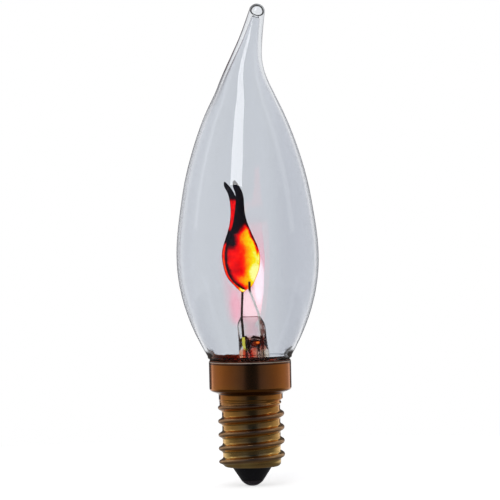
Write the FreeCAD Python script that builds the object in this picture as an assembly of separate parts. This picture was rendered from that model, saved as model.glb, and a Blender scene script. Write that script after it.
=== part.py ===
import FreeCAD, Part
import math
import os

# Flicker flame bulb: a candle-shaped glow lamp with a bent glass tip and an E14 screw cap.
# Millimetres. +Z runs up the bulb's axis with the cap at the bottom, and the origin is the
# lowest point of the solder on the centre contact. The flame plates face -Y.

# Cap, from the bottom up
contact_radius = 2.4
contact_height = 1.3
solder_radius = 1.5
eyelet_radius = 0.8
eyelet_wall = 0.25
eyelet_flange = 0.35
eyelet_flange_thickness = 0.3
solder_fill = 0.6
cone_height = 2.7
lip_radius = 4.2
shell_wall = 0.3
shell_corner = 0.9
collar_round = 0.45
skirt_round = 0.75
root_radius = 6.05
thread_length = 13.6
thread_pitch = 2.822
thread_turns = 4
thread_depth = 0.83
ridge_land = 0.4
flank_angle = 30.0
first_crest_rise = 2.69
collar_step = 0.3
collar_radius = 6.64
collar_length = 1.7
skirt_radius = 8.53
skirt_rise = 0.7
skirt_length = 6.0
insulator_depth = 1.3
insulator_rise = 0.5
lip_step = 0.15
lip_step_height = 0.25
insulator_clearance = 0.02

# Glass envelope
overall_height = 100.0
glass_wall = 0.6
cement_thickness = 0.78
cement_foot = 0.8
cement_overlap = 0.18
neck_overlap = 0.3
neck_cone = 1.05
seat_overhang = 0.2
seat_lift = 0.65
seat_band = 0.45
seat_round = 0.5
seat_fade = 0.9
belly_radius = 14.75
belly_rise = 21.7
tip_radius = 1.65
tip_length = 8.4
tip_lean = 13.8
tip_bend_radius = 33.0
tip_wall = 1.0
tip_bead = 2.9

# Stem: flare, tube and press, with the exhaust tube inside
stem_rise = 9.3
stem_shift = 0.55
stem_lean = 4.5
stem_wall = 0.8
lead_spacing = 3.52
seal_radius = 0.28
seal_length = 2.7
seal_depth = 4.2
lead_clearance = 0.11
press_depth = 2.4
press_top_depth = 1.73
press_inset = 0.06
press_taper = 0.14
press_margin = 0.2
press_shoulder = 2.6
press_flat = 1.8
press_slit = 0.35
press_slit_inset = 0.3
press_fade = 3.0
bore_top = 4.7
flare_rise = 2.6
flare_rim = 0.6
flare_rim_angle = 20.0
exhaust_clearance = 0.22
exhaust_wall = 0.45
exhaust_top = 5.4
exhaust_length = 14.0
exhaust_seal = 1.4
exhaust_point_radius = 0.44
exhaust_point_bore = 0.16
exhaust_port_radius = 0.45
exhaust_port_lid = 0.3

# Flame plates and their leads
flame_width = 7.3
front_height = 22.7
back_height = 22.95
plate_sheet = 0.15
plate_gap = 1.2
lead_rise = 5.0
front_lift = 0.5
lead_radius = 0.25
lead_bend = 1.2
weld_length = 1.7
weld_bite = 0.05
weld_inset = 0.15
lead_exit = 0.4
left_weld_x = -1.04
right_weld_x = 0.46

# Wires and resistor inside the cap, and the solder on the skirt's rim
outer_lead_radius = 0.15
outer_lead_bend = 0.5
outer_lead_clearance = 0.12
outer_lead_drop = 1.0
joint_length = 0.8
resistor_offset = 2.0
resistor_length = 6.2
resistor_radius = 1.2
resistor_waist = 0.14
resistor_cap_length = 1.3
resistor_cap_taper = 0.4
resistor_chamfer = 0.35
resistor_lift = 2.4
resistor_lead_length = 1.4
eyelet_lead_end = 0.52
side_angle = 62.0
side_solder_radius = 0.55
side_lead_end = 0.45
side_solder_inset = 0.02

# Shape of the flame plates: across in shares of flame_width from the bulb's axis, up in shares of
# the plate's height above its foot, once round each plate from its tip
FRONT_OUTLINE = [
    (-0.310, 1.000), (-0.237, 0.983), (-0.160, 0.944), (-0.076, 0.885), (-0.040, 0.791),
    (-0.023, 0.705), (0.036, 0.619), (0.127, 0.542), (0.238, 0.458), (0.345, 0.367), (0.381, 0.270),
    (0.332, 0.170), (0.233, 0.092), (0.120, 0.028), (-0.053, 0.000), (-0.224, 0.024),
    (-0.441, 0.091), (-0.577, 0.188), (-0.619, 0.316), (-0.553, 0.439), (-0.415, 0.556),
    (-0.316, 0.705), (-0.282, 0.791), (-0.294, 0.892), (-0.345, 0.980),
]
BACK_OUTLINE = [
    (-0.589, 1.000), (-0.516, 0.983), (-0.411, 0.945), (-0.326, 0.899), (-0.232, 0.823),
    (-0.182, 0.723), (-0.093, 0.624), (0.043, 0.524), (0.199, 0.407), (0.274, 0.298), (0.223, 0.185),
    (0.097, 0.086), (-0.131, 0.000), (-0.354, 0.053), (-0.562, 0.132), (-0.671, 0.236),
    (-0.703, 0.351), (-0.618, 0.461), (-0.475, 0.606), (-0.432, 0.732), (-0.451, 0.827),
    (-0.527, 0.913), (-0.604, 0.985),
]
# The envelope above its belly: share of the way from belly to bead, and share of the belly's
# radius that is left beyond the bead's
UPPER_OUTLINE = [
    (0.10, 0.976), (0.20, 0.921), (0.30, 0.852), (0.40, 0.752), (0.50, 0.624), (0.60, 0.474),
    (0.66, 0.362), (0.72, 0.262), (0.79, 0.161), (0.86, 0.092), (0.93, 0.046),
]
LOWER_STATIONS = (0.06, 0.2, 0.4, 0.7)
FLARE_STATIONS = (0, 0.15, 0.35, 0.65, 1)

# Heights and sizes that follow from the values above
V = FreeCAD.Vector
UP = V(0, 0, 1)
foot = contact_height + cone_height
collar_foot = foot + thread_length
collar_top = collar_foot + collar_length
skirt_foot = collar_top + skirt_rise
rim = skirt_foot + skirt_length
crest_radius = root_radius + thread_depth
skirt_bore = skirt_radius - shell_wall
neck_radius = skirt_bore - cement_thickness
side_lead_height = skirt_foot + shell_wall + outer_lead_radius + outer_lead_clearance
flare_foot = side_lead_height + outer_lead_radius + outer_lead_clearance
neck_end = flare_foot + flare_rim
seat_radius = skirt_radius + seat_overhang
seat_height = rim + seat_lift
flare_start = seat_height + seat_band
belly_height = rim + belly_rise
press_top = rim + stem_rise
plate_foot = press_top + lead_rise
insulator_top = foot + shell_wall + insulator_depth
lean = math.radians(stem_lean)
down_stem = V(math.sin(lean), 0, -math.cos(lean))


def corner_arc(before, corner, after, radius):
    """The arc of this radius that is tangent to both runs that meet at a corner."""
    back = (before - corner).normalize()
    ahead = (after - corner).normalize()
    half = back.getAngle(ahead) / 2
    reach = radius / math.tan(half)
    middle = corner + (back + ahead).normalize() * (radius / math.sin(half) - radius)
    return Part.Arc(corner + back * reach, middle, corner + ahead * reach)


def rounded_run(corners, radii, flats=False):
    """Straight edges through the corners, joined where a radius isn't 0 by tangent arcs or two flats each."""
    edges = []
    start = corners[0]
    for before, corner, after, radius in zip(corners, corners[1:], corners[2:], radii[1:]):
        if radius > 0:
            arc = corner_arc(before, corner, after, radius)
            edges.append(Part.makeLine(start, arc.StartPoint))
            start = arc.EndPoint
            if flats:
                middle = arc.value((arc.FirstParameter + arc.LastParameter) / 2)
                edges += [Part.makeLine(arc.StartPoint, middle), Part.makeLine(middle, start)]
            else:
                edges.append(arc.toShape())
        else:
            edges.append(Part.makeLine(start, corner))
            start = corner
    edges.append(Part.makeLine(start, corners[-1]))
    return edges


def outline(points):
    """Edges in the XZ plane through (x, z, fillet) points, with two flats along each fillet."""
    corners = [V(x, 0, z) for x, z, _ in points]
    return rounded_run(corners, [fillet for _, _, fillet in points], flats=True)


def inset(points, depth):
    """The same outline moved depth to the left of its own direction, with its fillets kept concentric."""
    moved = []
    for i, (x, z, fillet) in enumerate(points):
        sides = []
        for a, b in ((i - 1, i), (i, i + 1)):
            if a >= 0 and b < len(points):
                run = V(points[b][0] - points[a][0], 0, points[b][1] - points[a][1]).normalize()
                sides.append(V(-run.z, 0, run.x))
        first, last = sides[0], sides[-1]
        shift = (first + last) * (depth / (1 + first.dot(last)))
        turn = first.x * last.z - first.z * last.x
        if fillet > 0:
            fillet = fillet - depth if turn > 0 else fillet + depth
        moved.append((x + shift.x, z + shift.z, max(fillet, 0)))
    return moved


def turned(edges):
    """A solid of revolution about +Z from the closed outline that these edges make in the XZ plane."""
    wire = Part.Wire(Part.__sortEdges__(edges))
    return Part.Face(wire).revolve(V(0, 0, 0), UP, 360)


def turned_polygon(points):
    """A solid of revolution about +Z from a closed outline of (x, z, fillet) points."""
    edges = outline(points)
    edges.append(Part.makeLine(V(points[-1][0], 0, points[-1][1]), V(points[0][0], 0, points[0][1])))
    return turned(edges)


def rod(start, end, radius):
    """A straight round rod between two points."""
    return Part.makeCylinder(radius, (end - start).Length, start, end - start)


def bent_wire(corners, bends, radius):
    """A round wire along straight runs, with a tangent arc of its own radius at each inner corner."""
    edges = rounded_run(corners, [0] + bends + [0])
    section = Part.Wire(Part.makeCircle(radius, corners[0], corners[1] - corners[0]))
    return Part.Wire(edges).makePipeShell([section], True, False)


def stem_axis(height):
    """The point of the stem's leaning axis at a height."""
    return V(stem_shift + (press_top - height) * math.tan(lean), 0, height)


def stem_point(across, depth):
    """A point beside the stem's axis, depth below the press's top as measured along the axis."""
    side = V(math.cos(lean), 0, math.sin(lean))
    return V(stem_shift, 0, press_top) + side * across + down_stem * depth


def disc(height, radius_x, radius_y, centre_x=0.0):
    """A level elliptical section as a wire."""
    centre = V(centre_x, 0, height)
    if radius_x == radius_y:
        return Part.Wire(Part.makeCircle(radius_x, centre, UP))
    if radius_x > radius_y:
        ellipse = Part.Ellipse(centre + V(radius_x, 0, 0), centre + V(0, radius_y, 0), centre)
    else:
        ellipse = Part.Ellipse(centre + V(0, radius_y, 0), centre - V(radius_x, 0, 0), centre)
    return Part.Wire(ellipse.toShape())


# Cap shell
# Its sheet runs from the lip round the insulator, up the thread, out to the collar and over the
# shoulder to the skirt's rim. The thread is rolled into the sheet, so its ridges are hollow inside.
# They are level rings at the thread's pitch here.
def ridge(height):
    """The four corners of one ridge: straight flanks and a narrow land at the crest."""
    land = ridge_land / 2
    spread = land + thread_depth * math.tan(math.radians(flank_angle))
    return [
        (root_radius, height - spread, 0),
        (crest_radius, height - land, 0),
        (crest_radius, height + land, 0),
        (root_radius, height + spread, 0),
    ]


shell_outline = [(lip_radius, foot, 0), (root_radius, foot, shell_corner)]
for turn in range(thread_turns):
    shell_outline += ridge(foot + first_crest_rise + turn * thread_pitch)
shell_outline += [
    (root_radius, collar_foot, 0),
    (collar_radius, collar_foot + collar_step, 0),
    (collar_radius, collar_top, collar_round),
    (skirt_radius, skirt_foot, skirt_round),
    (skirt_radius, rim, 0),
]


def cap_shell():
    """One sheet of brass from the lip to the rim, turned about the bulb's axis."""
    return turned_polygon(shell_outline + inset(shell_outline, shell_wall)[::-1])


# Centre contact, its solder and the black glass insulator
def dome_height(radius):
    """Height of the contact's dome at a radius: one sphere through the origin and the contact's edge."""
    sphere = (contact_radius ** 2 + contact_height ** 2) / (2 * contact_height)
    return sphere - math.sqrt(sphere ** 2 - radius ** 2)


def dome_arc(outer, inner):
    """The dome's profile between two radii."""
    radii = (outer, (outer + inner) / 2, inner)
    return Part.Arc(*[V(r, 0, dome_height(r)) for r in radii]).toShape()


def centre_contact():
    """A domed plate with an eyelet up through the insulator and a flat under the solder."""
    flat = dome_height(solder_radius)
    bore = eyelet_radius - eyelet_wall
    top = insulator_top + eyelet_flange_thickness
    flange = eyelet_radius + eyelet_flange
    return turned([
        dome_arc(contact_radius, solder_radius),
        *outline([
            (solder_radius, flat, 0), (bore, flat, 0), (bore, top, 0), (flange, top, 0),
            (flange, insulator_top, 0), (eyelet_radius, insulator_top, 0),
            (eyelet_radius, contact_height, 0), (contact_radius, contact_height, 0),
        ]),
    ])


def centre_solder(wire):
    """The drop that ends at the origin, with solder drawn up the eyelet round the wire."""
    flat = dome_height(solder_radius)
    bore = eyelet_radius - eyelet_wall
    fill = contact_height + solder_fill
    drop = turned([
        dome_arc(solder_radius, 0),
        *outline([(0, 0, 0), (0, fill, 0), (bore, fill, 0), (bore, flat, 0), (solder_radius, flat, 0)]),
    ])
    return drop.cut(wire)


def cap_insulator():
    """Black glass: a cone under the lip, a waist through it and a disc on the shell's floor."""
    waist = lip_radius - insulator_clearance
    outside = root_radius - shell_wall - insulator_clearance
    floor = foot + shell_wall
    return turned_polygon([
        (eyelet_radius, contact_height, 0),
        (contact_radius, contact_height, 0),
        (waist - lip_step, foot - lip_step_height, lip_step),
        (waist, foot, 0),
        (waist, floor, 0),
        (outside, floor, shell_corner - shell_wall + insulator_clearance),
        (outside, insulator_top - insulator_rise, 0),
        (eyelet_radius + eyelet_flange, insulator_top, 0),
        (eyelet_radius, insulator_top, 0),
    ])


# Glass envelope
# Its centre line is straight up to the bend, then an arc, then straight to the bead's centre.
tip_turn = math.radians(tip_lean)
bend_height = (
    overall_height - tip_radius - tip_length * math.cos(tip_turn) - tip_bend_radius * math.sin(tip_turn)
)
bend_length = tip_bend_radius * tip_turn
bead_run = bend_height + bend_length + tip_length


def centre_line(run):
    """Point and direction of the envelope's centre line at a length along it from the origin."""
    turn = min(max(run - bend_height, 0) / tip_bend_radius, tip_turn)
    past = max(run - bend_height - bend_length, 0)
    x = tip_bend_radius * (1 - math.cos(turn)) + past * math.sin(turn)
    z = min(run, bend_height) + tip_bend_radius * math.sin(turn) + past * math.cos(turn)
    return V(x, 0, z), V(math.sin(turn), 0, math.cos(turn))


def stations():
    """Length along the centre line and outer radius of each section, from the seat to the bead."""
    low = [(u, belly_radius - (belly_radius - seat_radius) * (1 - u) ** 2) for u in LOWER_STATIONS]
    below = [(flare_start + u * (belly_height - flare_start), radius) for u, radius in low]
    span = bead_run - belly_height
    swell = belly_radius - tip_radius
    above = [(belly_height + u * span, tip_radius + swell * w) for u, w in UPPER_OUTLINE]
    return below + [(belly_height, belly_radius)] + above + [(bead_run, tip_radius)]


def inner_stations():
    """The sections with the wall taken off square to the glass, every other one above the belly, up to
    the solid bead."""
    outer = stations()
    belly = len(LOWER_STATIONS)
    outer = outer[:belly] + outer[belly::2]
    last = len(outer) - 1
    sections = []
    for i, (run, radius) in enumerate(outer):
        (run_a, radius_a), (run_b, radius_b) = outer[max(i - 1, 0)], outer[min(i + 1, last)]
        slope = (radius_b - radius_a) / (run_b - run_a)
        share = max(0.0, (run - bend_height) / (bead_run - bend_height))
        wall = glass_wall + (tip_wall - glass_wall) * share
        if run < bead_run - tip_bead:
            sections.append((run, radius - wall * math.hypot(1, slope)))
    end = bead_run - tip_bead
    before, after = [pair for pair in zip(outer, outer[1:]) if pair[0][0] <= end <= pair[1][0]][0]
    share = (end - before[0]) / (after[0] - before[0])
    radius = before[1] + (after[1] - before[1]) * share
    sections.append((end, radius - tip_wall))
    return sections


def lofted(sections, straight=False):
    """A solid through round sections square to the centre line, closed by a half ball at its far end."""
    wires = []
    for run, radius in sections:
        point, direction = centre_line(run)
        wires.append(Part.Wire(Part.makeCircle(radius, point, direction)))
    run, radius = sections[-1]
    point, direction = centre_line(run)
    end = Part.makeSphere(radius, point, direction, 0, 90, 360)
    return Part.makeLoft(wires, True, straight).fuse(end)


def arc_heights():
    """Where the outside's pairs of arcs begin and end, from the first section to the bend."""
    first = stations()[0][0]
    below = [first + share * (belly_height - first) for share in (0, 1 / 3)]
    above = [belly_height + share * (bend_height - belly_height) for share in (0, 1 / 3, 2 / 3, 1)]
    return below + above


def tangent_arc(start, way, end):
    """The arc from start to end that leaves start in the direction way."""
    chord = end - start
    across = (way - chord * (way.dot(chord) / chord.dot(chord))).normalize()
    rise = chord.Length / 2 * math.tan(way.getAngle(chord) / 2)
    return Part.Arc(start, start + chord / 2 + across * rise, end).toShape()


def arc_pair(start, start_way, end, end_way):
    """Two arcs that meet tangentially, from start to end in the directions given there."""
    chord = end - start
    along = chord.dot(start_way + end_way)
    spread = 2 * (1 - start_way.dot(end_way))
    reach = (math.sqrt(along ** 2 + spread * chord.dot(chord)) - along) / spread
    joint = (start + end + (start_way - end_way) * reach) / 2
    return [tangent_arc(start, start_way, joint), tangent_arc(end, end_way * -1, joint)]


def blown_body(sections):
    """The outside: pairs of tangent arcs turned about the axis up to the bend, then the bent tip lofted."""
    curve = Part.BSplineCurve()
    curve.interpolate([V(radius, 0, run) for run, radius in sections])
    nodes = []
    for height in arc_heights():
        level = Part.LineSegment(V(0, 0, height), V(2 * belly_radius, 0, height))
        point = curve.intersectCC(level)[0].toShape().Point
        nodes.append((point, V(*curve.tangent(curve.parameter(point))[0])))
    edges = []
    for first, last in zip(nodes, nodes[1:]):
        edges += arc_pair(*first, *last)
    run, radius = sections[0]
    bend = nodes[-1][0]
    edges += outline([(bend.x, bend_height, 0), (0, bend_height, 0), (0, run, 0), (radius, run, 0)])
    tip = [(bend_height, bend.x)] + [section for section in sections if section[0] > bend_height]
    return turned(edges).fuse(lofted(tip))


def neck_outline(first):
    """The outside of the neck and the seat over the cap's rim, up to the loft's first section."""
    run, radius = first
    return [
        (neck_radius, neck_end, 0),
        (neck_radius, rim - neck_overlap, seat_round),
        (seat_radius, rim - neck_overlap + neck_cone, seat_round / 2),
        (seat_radius, flare_start, seat_fade),
        (radius, run, 0),
    ]


def neck_solid(points):
    """A solid of revolution inside an outline that runs up beside the axis."""
    edges = outline(points)
    edges += outline([(points[-1][0], points[-1][1], 0), (0, points[-1][1], 0), (0, points[0][1], 0),
                      (points[0][0], points[0][1], 0)])
    return turned(edges)


outer_sections = stations()
inner_sections = inner_stations()
outer_neck = neck_outline(outer_sections[0])
envelope_outside = neck_solid(outer_neck).fuse(blown_body(outer_sections))


def glass_envelope():
    """The blown bulb: one wall from the neck's end to the solid bead."""
    points = inset(outer_neck, glass_wall)
    points[-1] = (inner_sections[0][1], inner_sections[0][0], 0)
    hollow = neck_solid(points).fuse(lofted(inner_sections, straight=True))
    return envelope_outside.cut(hollow)


def basing_cement(pieces):
    """The ring between neck and skirt, squeezed up between the rim and the glass."""
    inside = neck_radius - glass_wall
    outside = skirt_bore + cement_overlap
    ring = turned_polygon([
        (inside, neck_end + cement_foot, 0),
        (skirt_bore, neck_end + cement_foot, 0),
        (skirt_bore, rim, 0),
        (outside, rim, 0),
        (outside, seat_height, 0),
        (inside, seat_height, 0),
    ])
    ring = ring.cut(neck_solid(outer_neck))
    for piece in pieces:
        ring = ring.cut(piece)
    return max(ring.Solids, key=lambda solid: solid.Volume)


# Stem
tube_bore = lead_spacing / 2 + seal_radius + lead_clearance
tube_radius = tube_bore + stem_wall
exhaust_radius = lead_spacing / 2 - seal_radius - exhaust_clearance


def stem_loft(sections):
    """A solid through level ellipses (depth below the press's top, half width, half thickness)."""
    wires = []
    for depth, half_width, half_depth in sections:
        height = press_top - depth
        wires.append(disc(height, half_width, half_depth, stem_axis(height).x))
    return Part.makeLoft(wires, True, True)


def flare(rim_radius, throat_radius, low, high):
    """A trumpet from a rim on the bulb's axis to a throat on the stem's leaning axis."""
    first = math.radians(flare_rim_angle)
    wires = []
    for share in FLARE_STATIONS:
        angle = first + share * (math.pi / 2 - first)
        out = (1 - math.sin(angle)) / (1 - math.sin(first))
        up = 1 - math.cos(angle) / math.cos(first)
        height = low + (high - low) * up
        radius = throat_radius + (rim_radius - throat_radius) * out
        wires.append(disc(height, radius, radius, stem_axis(height).x * (1 - out)))
    return Part.makeLoft(wires, True, True)


def exhaust_port():
    """The small hole blown through the exhaust tube's top and the press, towards the front."""
    start = stem_point(0, exhaust_top + exhaust_port_radius + exhaust_port_lid)
    return rod(start, start - V(0, 2 * tube_radius, 0), exhaust_port_radius)


def stem_tube(exhaust, wires):
    """Flare, tube and flattened press in one glass, closed round the wires and the exhaust tube."""
    press_width = lead_spacing / 2 + lead_radius + press_margin
    throat = neck_end + flare_rise
    tube_end = press_top - throat
    fade_start = press_shoulder + press_flat
    full = fade_start + press_fade
    inset_radius = tube_radius - press_inset
    outside = stem_loft([
        (0, press_width, press_top_depth / 2),
        (press_shoulder / 3, (press_width + inset_radius) / 2, (press_top_depth + press_depth) / 4),
        (press_shoulder, inset_radius, press_depth / 2),
        (fade_start, inset_radius, press_depth / 2 + press_taper),
        (fade_start + press_fade / 2, tube_radius - press_inset / 2, (tube_radius + press_depth / 2) / 2),
        (full, tube_radius, tube_radius),
        (tube_end, tube_radius, tube_radius),
    ])
    bore = stem_loft([
        (bore_top, tube_bore - press_slit_inset, press_slit),
        ((bore_top + full) / 2, tube_bore - press_slit_inset / 2, (press_slit + tube_bore) / 2),
        (full, tube_bore, tube_bore),
        (tube_end, tube_bore, tube_bore),
    ])
    inside_neck = neck_radius - glass_wall - insulator_clearance
    skin = flare(inside_neck, tube_radius, neck_end, throat)
    hollow = flare(inside_neck - flare_rim, tube_bore, flare_foot, throat)
    rim_ring = Part.makeCylinder(neck_radius, flare_rim, V(0, 0, flare_foot))
    body = outside.fuse([skin, rim_ring])
    body = body.cut(bore.fuse(hollow))
    for piece in [exhaust] + wires:
        body = body.cut(piece)
    return body.cut(exhaust_port())


def exhaust_solid():
    """The exhaust tube's outside: straight, with a drawn point at its sealed foot."""
    top = stem_point(0, exhaust_top)
    foot_point = stem_point(0, exhaust_top + exhaust_length)
    tube = rod(top, foot_point, exhaust_radius)
    point = Part.makeCone(exhaust_radius, exhaust_point_radius, exhaust_seal, foot_point, down_stem)
    return tube.fuse(point)


def exhaust_tube():
    """Thin glass tube, closed in the press, open to the bulb through the port and sealed at its foot."""
    top = stem_point(0, exhaust_top + exhaust_wall)
    bore_end = stem_point(0, exhaust_top + exhaust_length)
    bore_radius = exhaust_radius - exhaust_wall
    point = Part.makeCone(bore_radius, exhaust_point_bore, exhaust_seal / 2, bore_end, down_stem)
    bore = rod(top, bore_end, bore_radius).fuse(point)
    return exhaust_solid().cut(bore).cut(exhaust_port())


# Flame plates
def flame_plate(points, height, low, near):
    """A stamped sheet with a flame's outline, standing across +Y with its near face at y = near."""
    corners = [V(across * flame_width, near, low + up * height) for across, up in points]
    curve = Part.BSplineCurve()
    curve.interpolate(corners, True)
    face = Part.Face(Part.Wire(curve.toShape()))
    return face.extrude(V(0, plate_sheet, 0))


# Leads
front_near = -plate_gap / 2 - plate_sheet
back_near = plate_gap / 2
weld_offset = plate_gap / 2 + plate_sheet + lead_radius - weld_bite


def inner_lead(across, weld_x, weld_y, weld_foot, plate):
    """A lead from its seal joint up out of the press to its plate, flattened where it is welded."""
    leave = stem_point(across, 0)
    corners = [
        stem_point(across, seal_depth),
        leave - down_stem * lead_exit,
        V(weld_x, weld_y, weld_foot - weld_inset),
        V(weld_x, weld_y, weld_foot + weld_length),
    ]
    return bent_wire(corners, [lead_bend / 3, lead_bend], lead_radius).cut(plate)


def seal_wire(across):
    """The short wire whose surface the press's glass wets."""
    return rod(stem_point(across, seal_depth), stem_point(across, seal_depth + seal_length), seal_radius)


resistor_foot = insulator_top + resistor_lift
resistor_top = resistor_foot + resistor_length
upper_joint = resistor_top + resistor_lead_length


def outer_lead_left():
    """From the left seal down the tube and across to the resistor's upper lead."""
    start = stem_point(-lead_spacing / 2, seal_depth + seal_length)
    turn_height = (flare_foot + upper_joint) / 2 + outer_lead_drop
    leave = start + down_stem * ((start.z - turn_height) / math.cos(lean))
    end = V(-resistor_offset, 0, upper_joint)
    corners = [start, leave, end + UP * joint_length, end]
    return bent_wire(corners, [outer_lead_bend, outer_lead_bend], outer_lead_radius)


def outer_lead_right():
    """From the right seal down the tube, out under the flare and up through the cement to the rim."""
    start = stem_point(lead_spacing / 2, seal_depth + seal_length)
    leave = start + down_stem * ((start.z - side_lead_height) / math.cos(lean))
    angle = math.radians(side_angle)
    climb = (neck_radius + skirt_bore) / 2
    out = V(climb * math.cos(angle), climb * math.sin(angle), side_lead_height)
    corners = [start, leave, out, V(out.x, out.y, rim - side_lead_end)]
    return bent_wire(corners, [outer_lead_bend, outer_lead_bend], outer_lead_radius)


def resistor_lead(low, high):
    """One of the resistor's own leads, straight along its axis."""
    return rod(V(-resistor_offset, 0, low), V(-resistor_offset, 0, high), outer_lead_radius)


def resistor_lead_lower():
    """From the resistor down and across to the eyelet, ending inside the centre contact's solder."""
    corners = [
        V(-resistor_offset, 0, resistor_foot),
        V(-resistor_offset, 0, resistor_foot - resistor_lift / 3),
        V(0, 0, insulator_top + resistor_lift / 3),
        V(0, 0, contact_height - eyelet_lead_end),
    ]
    return bent_wire(corners, [outer_lead_bend, outer_lead_bend], outer_lead_radius)


def ballast_resistor():
    """A lacquered rod resistor with fuller ends over its end caps."""
    waist = resistor_radius - resistor_waist
    top = resistor_length
    taper_end = resistor_cap_length + resistor_cap_taper
    body = turned_polygon([
        (0, 0, 0),
        (resistor_radius - resistor_chamfer, 0, 0),
        (resistor_radius, resistor_chamfer, 0),
        (resistor_radius, resistor_cap_length, 0),
        (waist, taper_end, 0),
        (waist, top - taper_end, 0),
        (resistor_radius, top - resistor_cap_length, 0),
        (resistor_radius, top - resistor_chamfer, 0),
        (resistor_radius - resistor_chamfer, top, 0),
        (0, top, 0),
    ])
    body.translate(V(-resistor_offset, 0, resistor_foot))
    return body


def side_solder(lead):
    """Solder drawn up from the right lead's end and over the skirt's rim, under the glass."""
    angle = math.radians(side_angle)
    out = V(math.cos(angle), math.sin(angle), 0)
    blob = Part.makeSphere(side_solder_radius, out * skirt_bore + V(0, 0, rim))
    blob = blob.common(Part.makeCylinder(skirt_radius - side_solder_inset, 2 * rim))
    skirt = turned_polygon([
        (skirt_bore, skirt_foot, 0),
        (skirt_radius, skirt_foot, 0),
        (skirt_radius, rim, 0),
        (skirt_bore, rim, 0),
    ])
    return blob.cut(skirt).cut(lead).cut(neck_solid(outer_neck))


def build():
    """Every piece of the bulb by name."""
    half = lead_spacing / 2
    parts = {}
    front_foot = plate_foot + front_lift
    front = flame_plate(FRONT_OUTLINE, front_height, front_foot, front_near)
    back = flame_plate(BACK_OUTLINE, back_height, plate_foot, back_near)
    parts["flame_plate_front"] = front
    parts["flame_plate_back"] = back
    parts["inner_lead_left"] = inner_lead(-half, left_weld_x, weld_offset, plate_foot, back)
    parts["inner_lead_right"] = inner_lead(half, right_weld_x, -weld_offset, front_foot, front)
    parts["seal_wire_left"] = seal_wire(-half)
    parts["seal_wire_right"] = seal_wire(half)
    parts["outer_lead_left"] = outer_lead_left()
    parts["outer_lead_right"] = outer_lead_right()
    sealed = [parts[name] for name in (
        "inner_lead_left", "inner_lead_right", "seal_wire_left", "seal_wire_right",
        "outer_lead_left", "outer_lead_right")]
    parts["exhaust_tube"] = exhaust_tube()
    parts["stem_tube"] = stem_tube(exhaust_solid(), sealed)
    parts["glass_envelope"] = glass_envelope()
    parts["cap_shell"] = cap_shell()
    parts["ballast_resistor"] = ballast_resistor()
    parts["resistor_lead_upper"] = resistor_lead(resistor_top, upper_joint)
    parts["resistor_lead_lower"] = resistor_lead_lower()
    parts["cap_insulator"] = cap_insulator()
    parts["centre_contact"] = centre_contact()
    parts["centre_solder"] = centre_solder(parts["resistor_lead_lower"])
    parts["side_solder"] = side_solder(parts["outer_lead_right"])
    parts["basing_cement"] = basing_cement([parts["outer_lead_right"], parts["side_solder"]])
    return parts


os.makedirs("parts", exist_ok=True)
for name, shape in build().items():
    solids = shape.Solids
    print(f"{name:22s} {len(solids)} solids  {shape.Volume:9.2f} mm3  valid {shape.isValid()}")
    shape.exportStep(f"parts/{name}.step")
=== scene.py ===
import math

import bmesh
import bpy
import numpy as np
from mathutils import Matrix, Vector


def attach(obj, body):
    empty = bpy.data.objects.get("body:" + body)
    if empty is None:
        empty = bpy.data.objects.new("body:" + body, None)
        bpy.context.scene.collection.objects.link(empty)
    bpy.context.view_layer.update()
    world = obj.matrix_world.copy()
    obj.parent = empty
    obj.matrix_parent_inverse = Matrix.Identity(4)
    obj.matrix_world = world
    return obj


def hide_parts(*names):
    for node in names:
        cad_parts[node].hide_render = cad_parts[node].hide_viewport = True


# A lit flicker flame bulb: bent glass tip, two glowing flame plates on a glass stem, brass screw cap.
# Shapes are worked out in the solids' millimetres and become metres in skin().

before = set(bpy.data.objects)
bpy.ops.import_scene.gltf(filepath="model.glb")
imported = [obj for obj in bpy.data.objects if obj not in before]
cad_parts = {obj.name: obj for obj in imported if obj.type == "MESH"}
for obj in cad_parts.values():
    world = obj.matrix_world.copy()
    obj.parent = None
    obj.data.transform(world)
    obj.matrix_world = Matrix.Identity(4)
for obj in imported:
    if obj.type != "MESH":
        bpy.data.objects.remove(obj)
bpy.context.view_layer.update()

MM = 0.001
# Points nearer than this many metres become one, and edges shorter than that vanish
MERGED = 2e-7
SLIVER = 1e-7

# Cap
FOOT = 4.0
COLLAR_FOOT = 17.6
COLLAR_TOP = 19.3
SKIRT_FOOT = 20.0
RIM = 26.0
LIP_RADIUS = 4.2
ROOT_RADIUS = 6.05
COLLAR_RADIUS = 6.64
SKIRT_RADIUS = 8.53
SHEET = 0.3
CAP_SPOKES = 150

# Rolled thread. The run-out fills the groove over the last ridge between two shares of a turn: each is where its
# easing starts, and how long it is.
THREAD_PITCH = 2.822
THREAD_DEPTH = 0.83
FIRST_CREST = 6.49
LAST_RIDGE = 3
CREST_ROUND = 0.5
ROOT_ROUND = 0.45
FLANK_ANGLE = math.radians(30)
THREAD_FADE = 1.3
THREAD_FADE_LOW = 0.8
RUN_OUT = 0.47
RUN_OUT_START = (0.18, 0.27)
RUN_OUT_END = (0.80, 0.17)

# Insulator, contact, solder and cement
EYELET_HOLE = 0.8
WAIST_RADIUS = 4.17
INSULATOR_RADIUS = 5.7
INSULATOR_TOP = 5.6
CONTACT_RADIUS = 2.4
CONTACT_HEIGHT = 1.3
SOLDER_RADIUS = 1.5
CEMENT_FOOT = 22.4
CEMENT_RADIUS = 8.21
CEMENT_INSIDE = 6.9

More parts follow.
